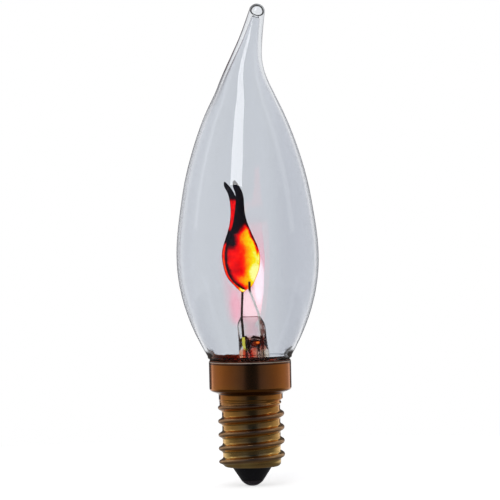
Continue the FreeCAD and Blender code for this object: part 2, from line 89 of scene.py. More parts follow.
# Glass envelope: length along its centre line and outer radius, from the seat to the bead
TIP_RADIUS = 1.65
TIP_LENGTH = 8.4
TIP_LEAN = math.radians(13.8)
TIP_BEND_RADIUS = 33.0
TIP_DRIFT = 0.09
DRIFT_START = 76.0
DRIFT_LENGTH = 8.5
TIP_WALL = 1.0
BUBBLE_RADIUS = 0.98
CAVITY_GAP = 1.62
GLASS_WALL = 0.6
NECK_RADIUS = 7.45
NECK_END = 21.54
SEAT_RADIUS = 8.73
SEAT_FOOT = 25.7
SEAT_CONE = 1.05
SEAT_ROUNDS = (0.5, 0.25, 0.9)
FLARE_START = 27.1
BELLY_RADIUS = 14.75
BELLY_HEIGHT = 47.7
HEIGHT = 100.0
LOWER_STATIONS = (0.06, 0.2, 0.4, 0.7)
UPPER_OUTLINE = (
    (0.10, 0.976), (0.20, 0.921), (0.30, 0.852), (0.40, 0.752), (0.50, 0.624), (0.60, 0.464),
    (0.66, 0.350), (0.72, 0.247), (0.79, 0.144), (0.86, 0.075), (0.93, 0.032),
)

# Painted shade sheet in the neck: each rise's height, and its middle, half width and easing in degrees round the
# neck
NECK_SHADE_FOOT = 25.8
NECK_SHADE_TOP = 26.15
NECK_SHADE_RISES = ((1.72, 218, 37.5, 2), (1.15, 184, 12, 26), (0.8, 130, 45, 8), (2.60, 0, 3, 38))
NECK_SHADE_GAPS = (0.08, 0.14)

# Stem: stations are the depth below the press's top, half width, half depth and the ring's power
PRESS_TOP = 35.3
STEM_SHIFT = 0.30
STEM_LEAN = math.radians(4.5)
TUBE_RADIUS = 3.15
TUBE_BORE = 2.35
BORE_TOP = 4.7
FLARE_FOOT = 20.94
FLARE_TOP = 24.14
FLARE_RIM = 6.83
FLARE_ANGLE = math.radians(20)
THROAT = PRESS_TOP - FLARE_TOP
STEM_STATIONS = (
    (0.12, 2.12, 0.80, 2.4), (0.5, 2.3, 0.92, 2.4), (1.3, 2.72, 1.08, 2.4), (2.6, 2.93, 1.22, 2.3),
    (4.4, 2.95, 1.42, 2.2), (6.0, 3.02, 2.15, 2.05), (7.6, TUBE_RADIUS, 2.88, 2.0),
    (9.0, TUBE_RADIUS, TUBE_RADIUS, 2.0), (THROAT, TUBE_RADIUS, TUBE_RADIUS, 2.0),
)
BORE_STATIONS = (
    (BORE_TOP, 0.4, 0.12, 2), (BORE_TOP + 0.3, 1.5, 0.4, 2), (BORE_TOP + 1.2, 2.1, 0.75, 2),
    (7.6, TUBE_BORE, 2.15, 2), (9.0, TUBE_BORE, TUBE_BORE, 2), (THROAT, TUBE_BORE, TUBE_BORE, 2),
)
EXHAUST_RADIUS = 1.26
EXHAUST_WALL = 0.45
EXHAUST_TOP = 6.6
EXHAUST_FOOT = 19.4
EXHAUST_POINT = 1.4

# Leads, seals and plates
LEAD_SPACING = 3.52
LEAD_RADIUS = 0.25
LEAD_EXIT = 0.4
LEAD_BENDS = (0.4, 1.2)
SEAL_RADIUS = 0.28
SEAL_DEPTH = 4.2
SEAL_LENGTH = 2.7
LEFT_WELD = -1.24
RIGHT_WELD = 0.26
WELD_LENGTH = 1.7
INNER_SHIFT = -0.2
FLAME_WIDTH = 7.3
PLATE_SHEET = 0.15
PLATE_GAP = 1.2
PLATE_FOOT = 40.3
FRONT_FOOT = PLATE_FOOT + 0.5
FRONT_HEIGHT = 22.7
BACK_HEIGHT = 22.95
FRONT_OUTLINE = (
    (-0.310, 1.000), (-0.237, 0.983), (-0.160, 0.944), (-0.076, 0.885), (-0.040, 0.791),
    (-0.023, 0.705), (0.036, 0.619), (0.127, 0.542), (0.238, 0.458), (0.345, 0.367), (0.381, 0.270),
    (0.332, 0.170), (0.233, 0.092), (0.120, 0.028), (-0.053, 0.000), (-0.224, 0.024),
    (-0.441, 0.091), (-0.577, 0.188), (-0.619, 0.316), (-0.553, 0.439), (-0.415, 0.556),
    (-0.316, 0.705), (-0.282, 0.791), (-0.294, 0.892), (-0.345, 0.980),
)
BACK_OUTLINE = (
    (-0.589, 1.000), (-0.516, 0.983), (-0.411, 0.945), (-0.326, 0.899), (-0.232, 0.823),
    (-0.182, 0.723), (-0.093, 0.624), (0.043, 0.524), (0.199, 0.407), (0.274, 0.298), (0.223, 0.185),
    (0.097, 0.086), (-0.131, 0.000), (-0.354, 0.053), (-0.562, 0.132), (-0.671, 0.236),
    (-0.703, 0.351), (-0.618, 0.461), (-0.475, 0.606), (-0.432, 0.732), (-0.451, 0.827),
    (-0.527, 0.913), (-0.604, 0.985),
)

# Painted halo of the flame's light, and fold in the stem: (x, z) along each edge, and how far behind the axis they
# lie
SHEET_HALF = 0.12
HALO_BEHIND = 1.50
HALO_RIGHT = (
    (2.75, 58.6), (2.92, 57.4), (3.50, 52.1), (3.77, 47.2), (3.35, 39.9), (2.82, 36.6), (2.55, 35.3),
    (1.3, 33.4), (1.0, 32.4),
)
HALO_LEFT = (
    (-4.4, 58.6), (-4.9, 55.0), (-5.7, 50.0), (-6.2, 46.5), (-6.0, 43.0), (-5.7, 40.0), (-5.4, 37.6),
    (-5.0, 35.3), (-4.3, 33.2), (-3.9, 32.4),
)
FOLD_BEHIND = 0.47
FOLD_TOP = (
    (-1.87, 30.37), (-1.21, 30.70), (-0.41, 31.27), (0.30, 30.37), (1.00, 31.27), (1.42, 31.10),
    (2.24, 30.85), (2.77, 30.50), (3.30, 30.10), (3.80, 29.60),
)
FOLD_FOOT = (
    (-1.84, 29.00), (-1.46, 28.70), (-0.70, 28.42), (0.20, 28.45), (0.63, 28.90), (1.30, 28.95),
    (2.00, 28.85), (2.55, 29.05), (3.03, 28.90), (3.80, 29.00),
)


# Curves and surfaces

def unit(vector):
    """A vector over its own length."""
    return vector / np.linalg.norm(vector)


def eased(share):
    """3s^2 - 2s^3, held at 0 and 1."""
    share = np.clip(share, 0, 1)
    return share ** 2 * (3 - 2 * share)


def circle(count):
    """Evenly spaced angles once round."""
    return np.linspace(0, 2 * math.pi, count, endpoint=False)


def waves(angle, *terms):
    """The sum of size sin(count angle + start)."""
    return sum(size * np.sin(count * angle + start) for size, count, start in terms)


def lengths(points):
    """The length along a run of points, at each of them."""
    return np.concatenate([[0], np.cumsum(np.linalg.norm(np.diff(points, axis=0), axis=1))])


def along(points, run, at):
    """Points at given lengths along a run of points, straight between them."""
    return np.stack([np.interp(at, run, column) for column in points.T], axis=1)


def even(points, count):
    """Evenly spaced points along a run of points."""
    run = lengths(points)
    return along(points, run, np.linspace(0, run[-1], count))


def dense(points, spacing):
    """The same run of points with more between them, none further apart than the spacing."""
    run = lengths(points)
    at = np.union1d(run, np.linspace(0, run[-1], int(run[-1] / spacing) + 2))
    return along(points, run, at[np.concatenate([[True], np.diff(at) > spacing / 50])])


def ways(points):
    """The way ahead at each point of a run, as unit vectors."""
    ahead = np.gradient(points, axis=0)
    return ahead / np.linalg.norm(ahead, axis=1)[:, None]


def cubic(knots, values, at):
    """Natural cubic spline: second derivatives b solve h0 b0 + 2(h0+h1) b1 + h1 b2 = 6 (change of slope)."""
    knots, values, at = np.asarray(knots, float), np.asarray(values, float), np.asarray(at, float)
    step = np.diff(knots)
    slope = np.diff(values) / step
    count = len(knots)
    system = np.eye(count)
    inner = np.arange(1, count - 1)
    system[inner, inner - 1] = step[:-1]
    system[inner, inner] = 2 * (step[:-1] + step[1:])
    system[inner, inner + 1] = step[1:]
    right = np.zeros(count)
    right[inner] = 6 * np.diff(slope)
    bend = np.linalg.solve(system, right)
    k = np.clip(np.searchsorted(knots, at) - 1, 0, count - 2)
    a, b = (knots[k + 1] - at) / step[k], (at - knots[k]) / step[k]
    curve = (a ** 3 - a) * bend[k] + (b ** 3 - b) * bend[k + 1]
    return a * values[k] + b * values[k + 1] + curve * step[k] ** 2 / 6


def side_of(points, first, last, count):
    """Evenly spaced points along a closed outline's smooth curve, from one given point to another."""
    points = np.array(points)
    wrapped = np.vstack([points[-4:], points, points[:5]])
    chord = lengths(wrapped)
    at = np.linspace(chord[first + 4], chord[last + 4], 12 * count)
    return even(np.stack([cubic(chord, column, at) for column in wrapped.T], axis=1), count)


def rounded(corners, radii, steps=8):
    """Straight runs with a tangent arc at each inner corner: the arc turns evenly about its centre."""
    corners = [np.asarray(corner, float) for corner in corners]
    points = [corners[0]]
    for before, corner, after, radius in zip(corners, corners[1:], corners[2:], radii):
        if radius == 0:
            points.append(corner)
            continue
        back, ahead = unit(before - corner), unit(after - corner)
        half = math.acos(np.clip(back @ ahead, -1, 1)) / 2
        centre = corner + unit(back + ahead) * radius / math.sin(half)
        start = corner + back * radius / math.tan(half) - centre
        end = corner + ahead * radius / math.tan(half) - centre
        sweep = math.pi - 2 * half
        share = np.linspace(0, 1, steps + 1)[:, None]
        arc = (np.sin((1 - share) * sweep) * start + np.sin(share * sweep) * end) / math.sin(sweep)
        points.extend(centre + arc)
    points.append(corners[-1])
    return np.array(points)


def placed(name, data):
    """An object for a mesh, lamp or camera, linked into the scene."""
    thing = bpy.data.objects.new(name, data)
    bpy.context.scene.collection.objects.link(thing)
    return thing


def skin(name, grid, loop=False, sharp=40.0, edge=None):
    """A mesh over a grid of points in millimetres: each row is a closed ring, and rows are closed too if loop."""
    rows, columns = grid.shape[:2]
    index = np.arange(rows * columns).reshape(rows, columns)
    below = index if loop else index[:-1]
    above = np.roll(index, -1, axis=0) if loop else index[1:]
    faces = np.stack([below, np.roll(below, -1, axis=1), np.roll(above, -1, axis=1), above], axis=-1)
    mesh = bpy.data.meshes.new(name)
    mesh.from_pydata((grid.reshape(-1, 3) * MM).tolist(), [], faces.reshape(-1, 4).tolist())
    if edge is not None:
        mesh.attributes.new("edge", "FLOAT", "POINT").data.foreach_set("value", edge.ravel())
    shape = bmesh.new()
    shape.from_mesh(mesh)
    bmesh.ops.remove_doubles(shape, verts=shape.verts, dist=MERGED)
    bmesh.ops.dissolve_degenerate(shape, dist=SLIVER, edges=shape.edges)
    bmesh.ops.recalc_face_normals(shape, faces=shape.faces)
    shape.to_mesh(mesh)
    shape.free()
    mesh.shade_smooth()
    mesh.set_sharp_from_angle(angle=math.radians(sharp))
    piece = placed(name, mesh)
    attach(piece, "root")
    return piece


def ring(radius, height, angle):
    """Points round +Z: x = r cos a, y = r sin a, z = h."""
    return np.stack([radius * np.cos(angle), radius * np.sin(angle), height + 0 * angle], axis=-1)


def turned(profile, spokes):
    """A profile of (radius, height) points carried round +Z."""
    return ring(profile[:, 0, None], profile[:, 1, None], circle(spokes))


def tube(path, radius, spokes):
    """A round wire: rings square to the path, turned least from one to the next, shut by a point at each end."""
    ahead = ways(path)
    side = np.cross(ahead, [0.0, 1.0, 0.0])
    side /= np.linalg.norm(side, axis=1)[:, None]
    other = np.cross(ahead, side)
    radius = np.broadcast_to(radius, len(path))
    angle = circle(spokes)
    spoke = np.cos(angle)[None, :, None] * side[:, None] + np.sin(angle)[None, :, None] * other[:, None]
    ends = [np.repeat(path[i][None, None], spokes, axis=1) for i in (0, -1)]
    return np.vstack([ends[0], path[:, None] + spoke * radius[:, None, None], ends[1]])


def across(first, last, count):
    """Rows from one edge to the other, closer together near both: points, shares of the way, rows' widths."""
    share = (1 - np.cos(np.linspace(0, math.pi, count))) / 2
    line = first[:, None] + (last - first)[:, None] * share[None, :, None]
    return line, share[None], np.linalg.norm(last - first, axis=1)[:, None]


def sheet(name, line, thick, middle, rim):
    """A closed sheet: (x, z) points half a thickness before and behind its middle, with the distance from its
    rim as the attribute that finishes read."""
    front, back = (np.stack([line[..., 0], middle + way * thick, line[..., 1]], axis=-1) for way in (-1, 1))
    grid, edge = (np.concatenate([near, far[:, -2:0:-1]], axis=1) for near, far in ((front, back), (rim, rim)))
    return skin(name, grid, sharp=70, edge=edge)


# Glass envelope

tip_bend_height = HEIGHT - TIP_RADIUS - TIP_LENGTH * math.cos(TIP_LEAN) - TIP_BEND_RADIUS * math.sin(TIP_LEAN)
tip_bend_length = TIP_BEND_RADIUS * TIP_LEAN
bead_run = tip_bend_height + tip_bend_length + TIP_LENGTH


def centre_line(run):
    """Upright to the bend, then an arc of the bend's radius, then straight on, with a slow drift to the side
    that starts under the bend: point and turn at each length."""
    turn = np.clip((run - tip_bend_height) / TIP_BEND_RADIUS, 0, TIP_LEAN)
    past = np.maximum(run - tip_bend_height - tip_bend_length, 0)
    drift = TIP_DRIFT * eased((run - DRIFT_START) / DRIFT_LENGTH)
    x = TIP_BEND_RADIUS * (1 - np.cos(turn)) + past * np.sin(turn) + drift
    z = np.minimum(run, tip_bend_height) + TIP_BEND_RADIUS * np.sin(turn) + past * np.cos(turn)
    return x, z, turn


def envelope_stations():
    """Length along the centre line and radius at each section of the blown shape."""
    below = [(FLARE_START + u * (BELLY_HEIGHT - FLARE_START),
              BELLY_RADIUS - (BELLY_RADIUS - SEAT_RADIUS) * (1 - u) ** 2) for u in LOWER_STATIONS]
    span, swell = bead_run - BELLY_HEIGHT, BELLY_RADIUS - TIP_RADIUS
    above = [(BELLY_HEIGHT + u * span, TIP_RADIUS + swell * w) for u, w in UPPER_OUTLINE]
    return np.array(below + [(BELLY_HEIGHT, BELLY_RADIUS)] + above + [(bead_run, TIP_RADIUS)])


def half_ball(radius, run, count):
    """A quarter circle of (radius, length) points, from a ring to the axis."""
    turn = np.linspace(0, math.pi / 2, count)[1:]
    arc = np.stack([radius * np.cos(turn), run + radius * np.sin(turn)], axis=1)
    arc[-1, 0] = 0
    return arc


def envelope_outside():
    """Neck, rounded seat over the rim, blown body and the bead's half ball, as (radius, length) points."""
    stations = envelope_stations()
    seat = rounded(
        [(NECK_RADIUS, NECK_END), (NECK_RADIUS, SEAT_FOOT), (SEAT_RADIUS, SEAT_FOOT + SEAT_CONE),
         (SEAT_RADIUS, FLARE_START), (stations[0, 1], stations[0, 0])], SEAT_ROUNDS)
    run = np.linspace(stations[0, 0], bead_run, 260)[1:]
    body = np.stack([cubic(stations[:, 0], stations[:, 1], run), run], axis=1)
    return np.vstack([dense(seat, 0.3), body, half_ball(TIP_RADIUS, bead_run, 12)])


def envelope_inside(outside):
    """The outside moved in square to itself by the wall, up to a half ball under the bead's void."""
    points = outside[outside[:, 1] < bead_run - CAVITY_GAP]
    ahead = ways(points)
    share = np.clip((points[:, 1] - tip_bend_height) / (bead_run - tip_bend_height), 0, 1)
    wall = GLASS_WALL + (TIP_WALL - GLASS_WALL) * share
    inner = points + np.stack([-ahead[:, 1], ahead[:, 0]], axis=1) * wall[:, None]
    inner[0, 1] = NECK_END
    return np.vstack([inner, half_ball(*inner[-1], 10)])


def glass_envelope():
    """One closed wall: inside from its top down, round the neck's end, and outside up to the bead. Each ring is
    level across the centre line: x + r cos a cos t, r sin a, z - r cos a sin t."""
    outside = envelope_outside()
    profile = np.vstack([envelope_inside(outside)[::-1], outside])
    radius, x, z, turn = (value[:, None] for value in (profile[:, 0], *centre_line(profile[:, 1])))
    angle = circle(144)
    sideways = radius * np.cos(angle)
    grid = np.stack([x + sideways * np.cos(turn), radius * np.sin(angle), z - sideways * np.sin(turn)], axis=-1)
    return skin("bulb_glass", grid, sharp=60)


def neck_shade_sheet():
    """A sheet of painted shade inside the neck, for the cap's dark refraction and the glow's red reflection: its
    ragged top edge stands up at the front's left and climbs to its highest at the right; its radius is the wall's
    own, less a gap."""
    wall = envelope_inside(envelope_outside())
    wall = wall[(wall[:, 1] > 25.0) & (wall[:, 1] < 32.0)]
    wall = wall[np.argsort(wall[:, 1])]
    angle = circle(240)
    top = NECK_SHADE_TOP + waves(angle, (0.06, 9, 1), (0.05, 23, 0), (0.03, 41, 2))
    for rise, middle, wide, soft in NECK_SHADE_RISES:
        off = np.abs((np.degrees(angle) - middle + 180) % 360 - 180)
        top = top + rise * eased((wide + soft - off) / soft)
    height = NECK_SHADE_FOOT + (top - NECK_SHADE_FOOT) * np.linspace(0, 1, 16)[:, None]
    radius = np.interp(height, wall[:, 1], wall[:, 0])
    near, far = (ring(radius - gap, height, angle) for gap in NECK_SHADE_GAPS)
    return skin("neck_shade_sheet", np.vstack([near, far[::-1]]), loop=True, sharp=70)


def bead_bubble():
    """The round void in the sealed bead: a ball about the bead's own centre."""
    x, z, _ = centre_line(np.array([bead_run]))
    polar = np.linspace(0, math.pi, 40)
    ball = BUBBLE_RADIUS * np.stack([np.sin(polar), -np.cos(polar)], axis=1)
    return skin("bead_bubble", turned(ball, 64) + np.array([x[0], 0.0, z[0]]))


# Brass cap

def thread_lift(height, turn):
    """Height of the rolled ridge over its root: round crest, straight flank, round foot, on a right-hand helix.
    The groove over the last ridge runs out to the collar's level where the two draw together."""
    rise = height - FIRST_CREST - turn * THREAD_PITCH
    off = np.abs(rise - THREAD_PITCH * np.round(rise / THREAD_PITCH))
    crest_end = CREST_ROUND * math.cos(FLANK_ANGLE)
    flank_top = THREAD_DEPTH - CREST_ROUND * (1 - math.sin(FLANK_ANGLE))
    flank_foot = crest_end + flank_top * math.tan(FLANK_ANGLE)
    reach = ROOT_ROUND * math.tan((math.pi / 2 - FLANK_ANGLE) / 2)
    crest = THREAD_DEPTH - CREST_ROUND + np.sqrt(np.maximum(CREST_ROUND ** 2 - off ** 2, 0))
    flank = (flank_foot - off) / math.tan(FLANK_ANGLE)
    left = np.clip(flank_foot + reach - off, 0, ROOT_ROUND)
    root = ROOT_ROUND - np.sqrt(ROOT_ROUND ** 2 - left ** 2)
    on_flank = off < flank_foot - reach * math.sin(FLANK_ANGLE)
    lift = np.where(off < crest_end, crest, np.where(on_flank, flank, root))
    lift = lift * eased((height - FOOT - 0.25) / THREAD_FADE_LOW)
    lift = lift * eased((COLLAR_FOOT + 0.35 - height) / THREAD_FADE)
    last_ridge = FIRST_CREST + (turn + LAST_RIDGE) * THREAD_PITCH
    filled = RUN_OUT * eased((turn - RUN_OUT_START[0]) / RUN_OUT_START[1])
    filled = filled * (1 - eased((turn - RUN_OUT_END[0]) / RUN_OUT_END[1]))
    filled = filled * (1 - eased((height - COLLAR_FOOT - 0.08) / 0.36)) * eased((height - last_ridge) / 0.2 + 1)
    return np.maximum(lift, filled)


def shell_profile(inward):
    """The sheet's section from the lip to the rim, moved in by so much from its outside."""
    return rounded(
        [(LIP_RADIUS, FOOT + inward), (ROOT_RADIUS - inward, FOOT + inward),
         (ROOT_RADIUS - inward, COLLAR_FOOT + 0.1), (COLLAR_RADIUS - inward, COLLAR_FOOT + 0.45),
         (COLLAR_RADIUS - inward, COLLAR_TOP + 0.4 * inward),
         (SKIRT_RADIUS - inward, SKIRT_FOOT + 0.4 * inward), (SKIRT_RADIUS - inward, RIM)],
        (max(0.9 - inward, 0.3), 0.3, 0.25, 0.4 + inward, max(0.75 - inward, 0.2)))


def cap_shell():
    """The sheet's outside and inside as one closed section, with the thread's lift added at each angle."""
    outside, inside = dense(shell_profile(0), 0.085), dense(shell_profile(SHEET), 0.12)
    grid = turned(np.vstack([outside, inside[::-1]]), CAP_SPOKES)
    turn = np.linspace(0, 1, CAP_SPOKES, endpoint=False)
    radius = np.hypot(grid[..., 0], grid[..., 1])
    grid[..., :2] *= ((radius + thread_lift(grid[..., 2], turn[None, :])) / radius)[..., None]
    return skin("threaded_cap", grid, loop=True, sharp=50)


def cap_insulator():
    """Black glass cone under the lip, its waist through the lip and its disc inside the shell."""
    over_lip = FOOT + SHEET + 0.02
    corners = [
        (EYELET_HOLE, 1.4), (CONTACT_RADIUS, CONTACT_HEIGHT), (3.98, FOOT - 0.3), (WAIST_RADIUS, FOOT - 0.02),
        (WAIST_RADIUS, over_lip), (INSULATOR_RADIUS, over_lip), (INSULATOR_RADIUS, 5.1),
        (1.2, INSULATOR_TOP), (EYELET_HOLE, INSULATOR_TOP)]
    section = rounded(corners + corners[:2], (0.12, 0.25, 0.05, 0, 0.5, 0.2, 0, 0, 0))[:-1]
    return skin("black_glass_cone", turned(dense(section, 0.2)[:-1], 96), loop=True)


def dome(radius):
    """Height of the contact's sphere through the origin and the contact's edge."""
    sphere = (CONTACT_RADIUS ** 2 + CONTACT_HEIGHT ** 2) / (2 * CONTACT_HEIGHT)
    return sphere - np.sqrt(sphere ** 2 - radius ** 2)


def centre_contact():
    """The domed plate from its edge to the solder, with a rolled edge and a flat back."""
    radius = np.linspace(CONTACT_RADIUS - 0.06, SOLDER_RADIUS - 0.2, 14)
    back = [(0.9, dome(SOLDER_RADIUS)), (0.9, CONTACT_HEIGHT + 0.05),
            (CONTACT_RADIUS - 0.08, CONTACT_HEIGHT - 0.005), (CONTACT_RADIUS, CONTACT_HEIGHT - 0.06)]
    profile = np.vstack([np.stack([radius, dome(radius)], axis=1), back])
    return skin("contact_plate", turned(dense(profile, 0.1), 72), loop=True)


def centre_solder():
    """A drop with an uneven edge: its radius swells by small waves of the angle, and it stands proud of the
    dome between its middle and its edge."""
    share = np.linspace(0, 1, 22)[:, None]
    angle = circle(72)
    radius = share * SOLDER_RADIUS * (1 + waves(angle, (0.035, 3, 0.6), (0.02, 7, 0)))
    proud = 0.07 * (1 - share ** 4) * (1 - np.exp(-(radius / 0.5) ** 2))
    low = dome(radius) - proud * dome(radius) / dome(SOLDER_RADIUS)
    high = np.maximum(low + 0.02, dome(SOLDER_RADIUS) + 0.12)
    return skin("solder_drop", np.vstack([ring(radius, low, angle), ring(radius, high, angle)[::-1]]), sharp=70)


def basing_cement():
    """Cement between neck and skirt: a ring whose top is squeezed up unevenly under the glass."""
    corners = [
        (CEMENT_INSIDE, CEMENT_FOOT), (CEMENT_RADIUS, CEMENT_FOOT), (CEMENT_RADIUS, RIM + 0.02), (8.4, RIM + 0.05),
        (8.38, RIM + 0.55), (7.4, SEAT_FOOT), (CEMENT_INSIDE, SEAT_FOOT)]
    section = dense(rounded(corners + corners[:1], (0, 0, 0.02, 0.1, 0, 0)), 0.12)[:-1]
    section[:, 0] = np.maximum(section[:, 0], NECK_RADIUS + 0.02)
    grid = turned(section, 180)
    wave = waves(circle(180), (0.05, 5, 1), (0.04, 13, 0), (0.03, 31, 2))
    grid[..., 2] -= np.clip(grid[..., 2] - RIM, 0, 1) * (0.25 + 3 * np.abs(wave))
    return skin("basing_ring", grid, loop=True)


# Stem

def stem_axis(height):
    """The stem's leaning axis: x at a height."""
    return STEM_SHIFT + (PRESS_TOP - height) * math.tan(STEM_LEAN)


def stem_point(sideways, depth):
    """A point beside the leaning stem axis, depth below the press's top along that axis."""
    side = np.array([math.cos(STEM_LEAN), 0, math.sin(STEM_LEAN)])
    down = np.array([math.sin(STEM_LEAN), 0, -math.cos(STEM_LEAN)])
    return np.array([STEM_SHIFT, 0, PRESS_TOP]) + side * sideways + down * depth


def stem_rings(rows, spokes):
    """Level rings |x/a|^n + |y/b|^n = 1 from rows of (height, centre x, a, b, n)."""
    height, centre, wide, deep, power = (rows[:, i, None] for i in range(5))
    cos, sin = np.cos(circle(spokes)), np.sin(circle(spokes))
    size = (np.abs(cos) ** power + np.abs(sin) ** power) ** (-1 / power)
    return np.stack([centre + wide * size * cos, deep * size * sin, height + 0 * cos], axis=-1)


def stem_rows(stations):
    """A row for each station of the press, tube or bore."""
    return np.array([(PRESS_TOP - depth, stem_axis(PRESS_TOP - depth), wide, deep, power)
                     for depth, wide, deep, power in stations])


def smooth_rows(stations, count):
    """The rows between a few given stations, each value on its own smooth curve of the height."""
    table = stem_rows(stations)[::-1]
    height = np.linspace(table[0, 0], table[-1, 0], count)
    soft = [cubic(table[:, 0], column, height) for column in table.T[1:]]
    return np.stack([height] + soft, axis=1)[::-1]


def flare(rim_radius, throat, low):
    """Rows along a quarter turn less the rim's angle, from the tube's side out and down to the rim."""
    angle = np.linspace(math.pi / 2, FLARE_ANGLE, 26)[:, None]
    out = (1 - np.sin(angle)) / (1 - math.sin(FLARE_ANGLE))
    height = low + (FLARE_TOP - low) * (1 - np.cos(angle) / math.cos(FLARE_ANGLE))
    radius = throat + (rim_radius - throat) * out
    return np.hstack([height, stem_axis(height) * (1 - out), radius, radius, 2 + 0 * radius])


def stem_glass():
    """Press, tube and flare in one closed glass: outside down to the flare's rim, and back up the bore."""
    top = stem_rows([(0, 0, 0, 2.4), (0, 1.0, 0.3, 2.4), (0.01, 1.8, 0.6, 2.4)])
    rim = np.array([(height, 0, radius, radius, 2) for height, radius in (
        (NECK_END, FLARE_RIM), (FLARE_FOOT + 0.1, FLARE_RIM), (FLARE_FOOT, FLARE_RIM - 0.13),
        (FLARE_FOOT, FLARE_RIM - 0.53))])
    skirt = flare(FLARE_RIM - 0.01, TUBE_RADIUS, NECK_END)
    under = flare(FLARE_RIM - 0.61, TUBE_BORE, FLARE_FOOT)[::-1]
    rows = np.vstack([
        top, smooth_rows(STEM_STATIONS, 70), skirt[1:], rim, under[:-1], smooth_rows(BORE_STATIONS, 50)[::-1],
        stem_rows([(BORE_TOP - 0.02, 0, 0, 2)])])
    return skin("stem_glass", stem_rings(rows, 96), sharp=60)


def exhaust_tube():
    """A thin glass tube in the stem's bore, drawn to a sealed point inside the cap."""
    top, foot = stem_point(0, EXHAUST_TOP), stem_point(0, EXHAUST_FOOT)
    tip = foot + unit(foot - top) * EXHAUST_POINT
    share = np.linspace(0, 1, 40)[:, None]
    down = np.vstack([top + (foot - top) * share, foot + (tip - foot) * share[1::4]])
    bore = EXHAUST_RADIUS - EXHAUST_WALL
    outside = np.concatenate([np.full(40, EXHAUST_RADIUS), np.linspace(EXHAUST_RADIUS, 0.35 * EXHAUST_RADIUS, 10)])
    inside = np.concatenate([np.full(36, bore), np.linspace(0.8, 0.1, 8)])
    body, hollow = tube(down, outside, 48), tube(down[2:46], inside, 48)[::-1]
    return skin("exhaust_tube_glass", np.vstack([hollow[1:-1], body[1:]]), sharp=60)


# Wires and plates

def lead(name, sideways, weld_x, weld_y, weld_foot):
    """A wire from its seal joint out of the press, and in two bends to its plate."""
    path = rounded(
        [stem_point(sideways, SEAL_DEPTH), stem_point(sideways, -LEAD_EXIT),
         (weld_x, weld_y, weld_foot - 0.15), (weld_x, weld_y, weld_foot + WELD_LENGTH)], LEAD_BENDS)
    return skin(name, tube(dense(path, 0.12), LEAD_RADIUS, 20))


def seal_wire(name, sideways):
    """The short thick wire in the press's glass, with a bead of glass-wetted metal at each end."""
    path = np.linspace(stem_point(sideways, SEAL_DEPTH), stem_point(sideways, SEAL_DEPTH + SEAL_LENGTH), 24)
    share = np.linspace(-1, 1, 24)
    return skin(name, tube(path, SEAL_RADIUS * (0.92 + 0.08 * share ** 8), 20))


def flame_plate(name, outline, height, low, middle):
    """A stamped sheet between its right and left edges, which meet at its tip and foot: across each row it bulges
    to the sheet's thickness and its edge is rounded over half of that."""
    rows, half = 150, PLATE_SHEET / 2
    foot = min(range(len(outline)), key=lambda i: outline[i][1])
    scaled = [(x * FLAME_WIDTH + INNER_SHIFT, low + z * height) for x, z in outline]
    right = side_of(scaled, 0, foot, rows)
    left = side_of(scaled, foot, len(outline), rows)[::-1]
    line, share, width = across(right, left, 28)
    rim = np.minimum(share, 1 - share) * width
    thick = half * np.sqrt(1 - (1 - np.clip(rim / half, 0, 1)) ** 2)
    up = np.linspace(0, 1, rows)[:, None]
    return sheet(name, line, thick, middle, np.minimum(rim, np.minimum(up, 1 - up) * lengths(right)[-1]))


def veil(name, first, last, middle, rows, fade_last=False):
    """A thin closed sheet, a lens across each row: both edges are straight runs between (x, z) points, met at
    equal shares of their length. The distance is from the nearer edge, or from the last one alone."""
    first, last = (even(np.array(points) + [INNER_SHIFT, 0], rows) for points in (first, last))
    line, share, width = across(first, last, 20)
    up = np.linspace(-1, 1, rows)[:, None]
    thick = SHEET_HALF * np.sqrt(4 * share * (1 - share)) * np.sqrt(1 - up ** 8)
    return sheet(name, line, thick, middle, (1 - share if fade_last else np.minimum(share, 1 - share)) * width)


# Materials

class Shade:
    """A socket in a material's node tree: arithmetic adds Math nodes, and node() adds any other node."""

    def __init__(self, tree, socket=None):
        self.tree, self.socket = tree, socket

    def node(self, kind, settings=(), sockets=(), output=0):
        made = self.tree.nodes.new(kind)
        for name, value in dict(settings).items():
            if name == "stops":
                ramp = made.color_ramp
                while len(ramp.elements) < len(value):
                    ramp.elements.new(1.0)
                for element, (place, colour) in zip(ramp.elements, value):
                    element.position, element.color = place, (*colour, 1.0)
            else:
                setattr(made, name, value)
        for name, value in dict(sockets).items():
            if isinstance(value, Shade):
                self.tree.links.new(value.socket, made.inputs[name])
            elif made.inputs[name].type == "RGBA" and len(value) == 3:
                made.inputs[name].default_value = (*value, 1.0)
            else:
                made.inputs[name].default_value = value
        return Shade(self.tree, made.outputs[output] if len(made.outputs) else None)

    def math(self, operation, *values):
        return self.node("ShaderNodeMath", {"operation": operation}, dict(enumerate(values)))

    def larger(self, other):
        return self.math("MAXIMUM", self, other)

    def smaller(self, other):
        return self.math("MINIMUM", self, other)

    def step(self, low, high):
        """0 below low and 1 above high, eased between."""
        return self.node("ShaderNodeMapRange", {"interpolation_type": "SMOOTHSTEP"},
                         {"Value": self, "From Min": low, "From Max": high})

    def fall(self, low, high):
        """1 below low and 0 above high, eased between."""
        return 1 - self.step(low, high)

    def band(self, low, full, still, high):
        """1 from full to still, eased to 0 at low and high."""
        return self.step(low, full) * self.fall(still, high)

    def ramp(self, *stops):
        """Colours, or greys given as one number, at places from 0 to 1."""
        stops = [(place, colour if isinstance(colour, tuple) else (colour,) * 3) for place, colour in stops]
        return self.node("ShaderNodeValToRGB", {"stops": stops}, {"Fac": self})

    def mix(self, colour, other):
        """Colour where this is 0 and the other where it is 1."""
        return self.node("ShaderNodeMix", {"data_type": "RGBA"}, {"Factor": self, 6: colour, 7: other}, 2)

    def ray(self, name):
        """One of the light path's outputs."""
        return self.node("ShaderNodeLightPath", (), (), name)


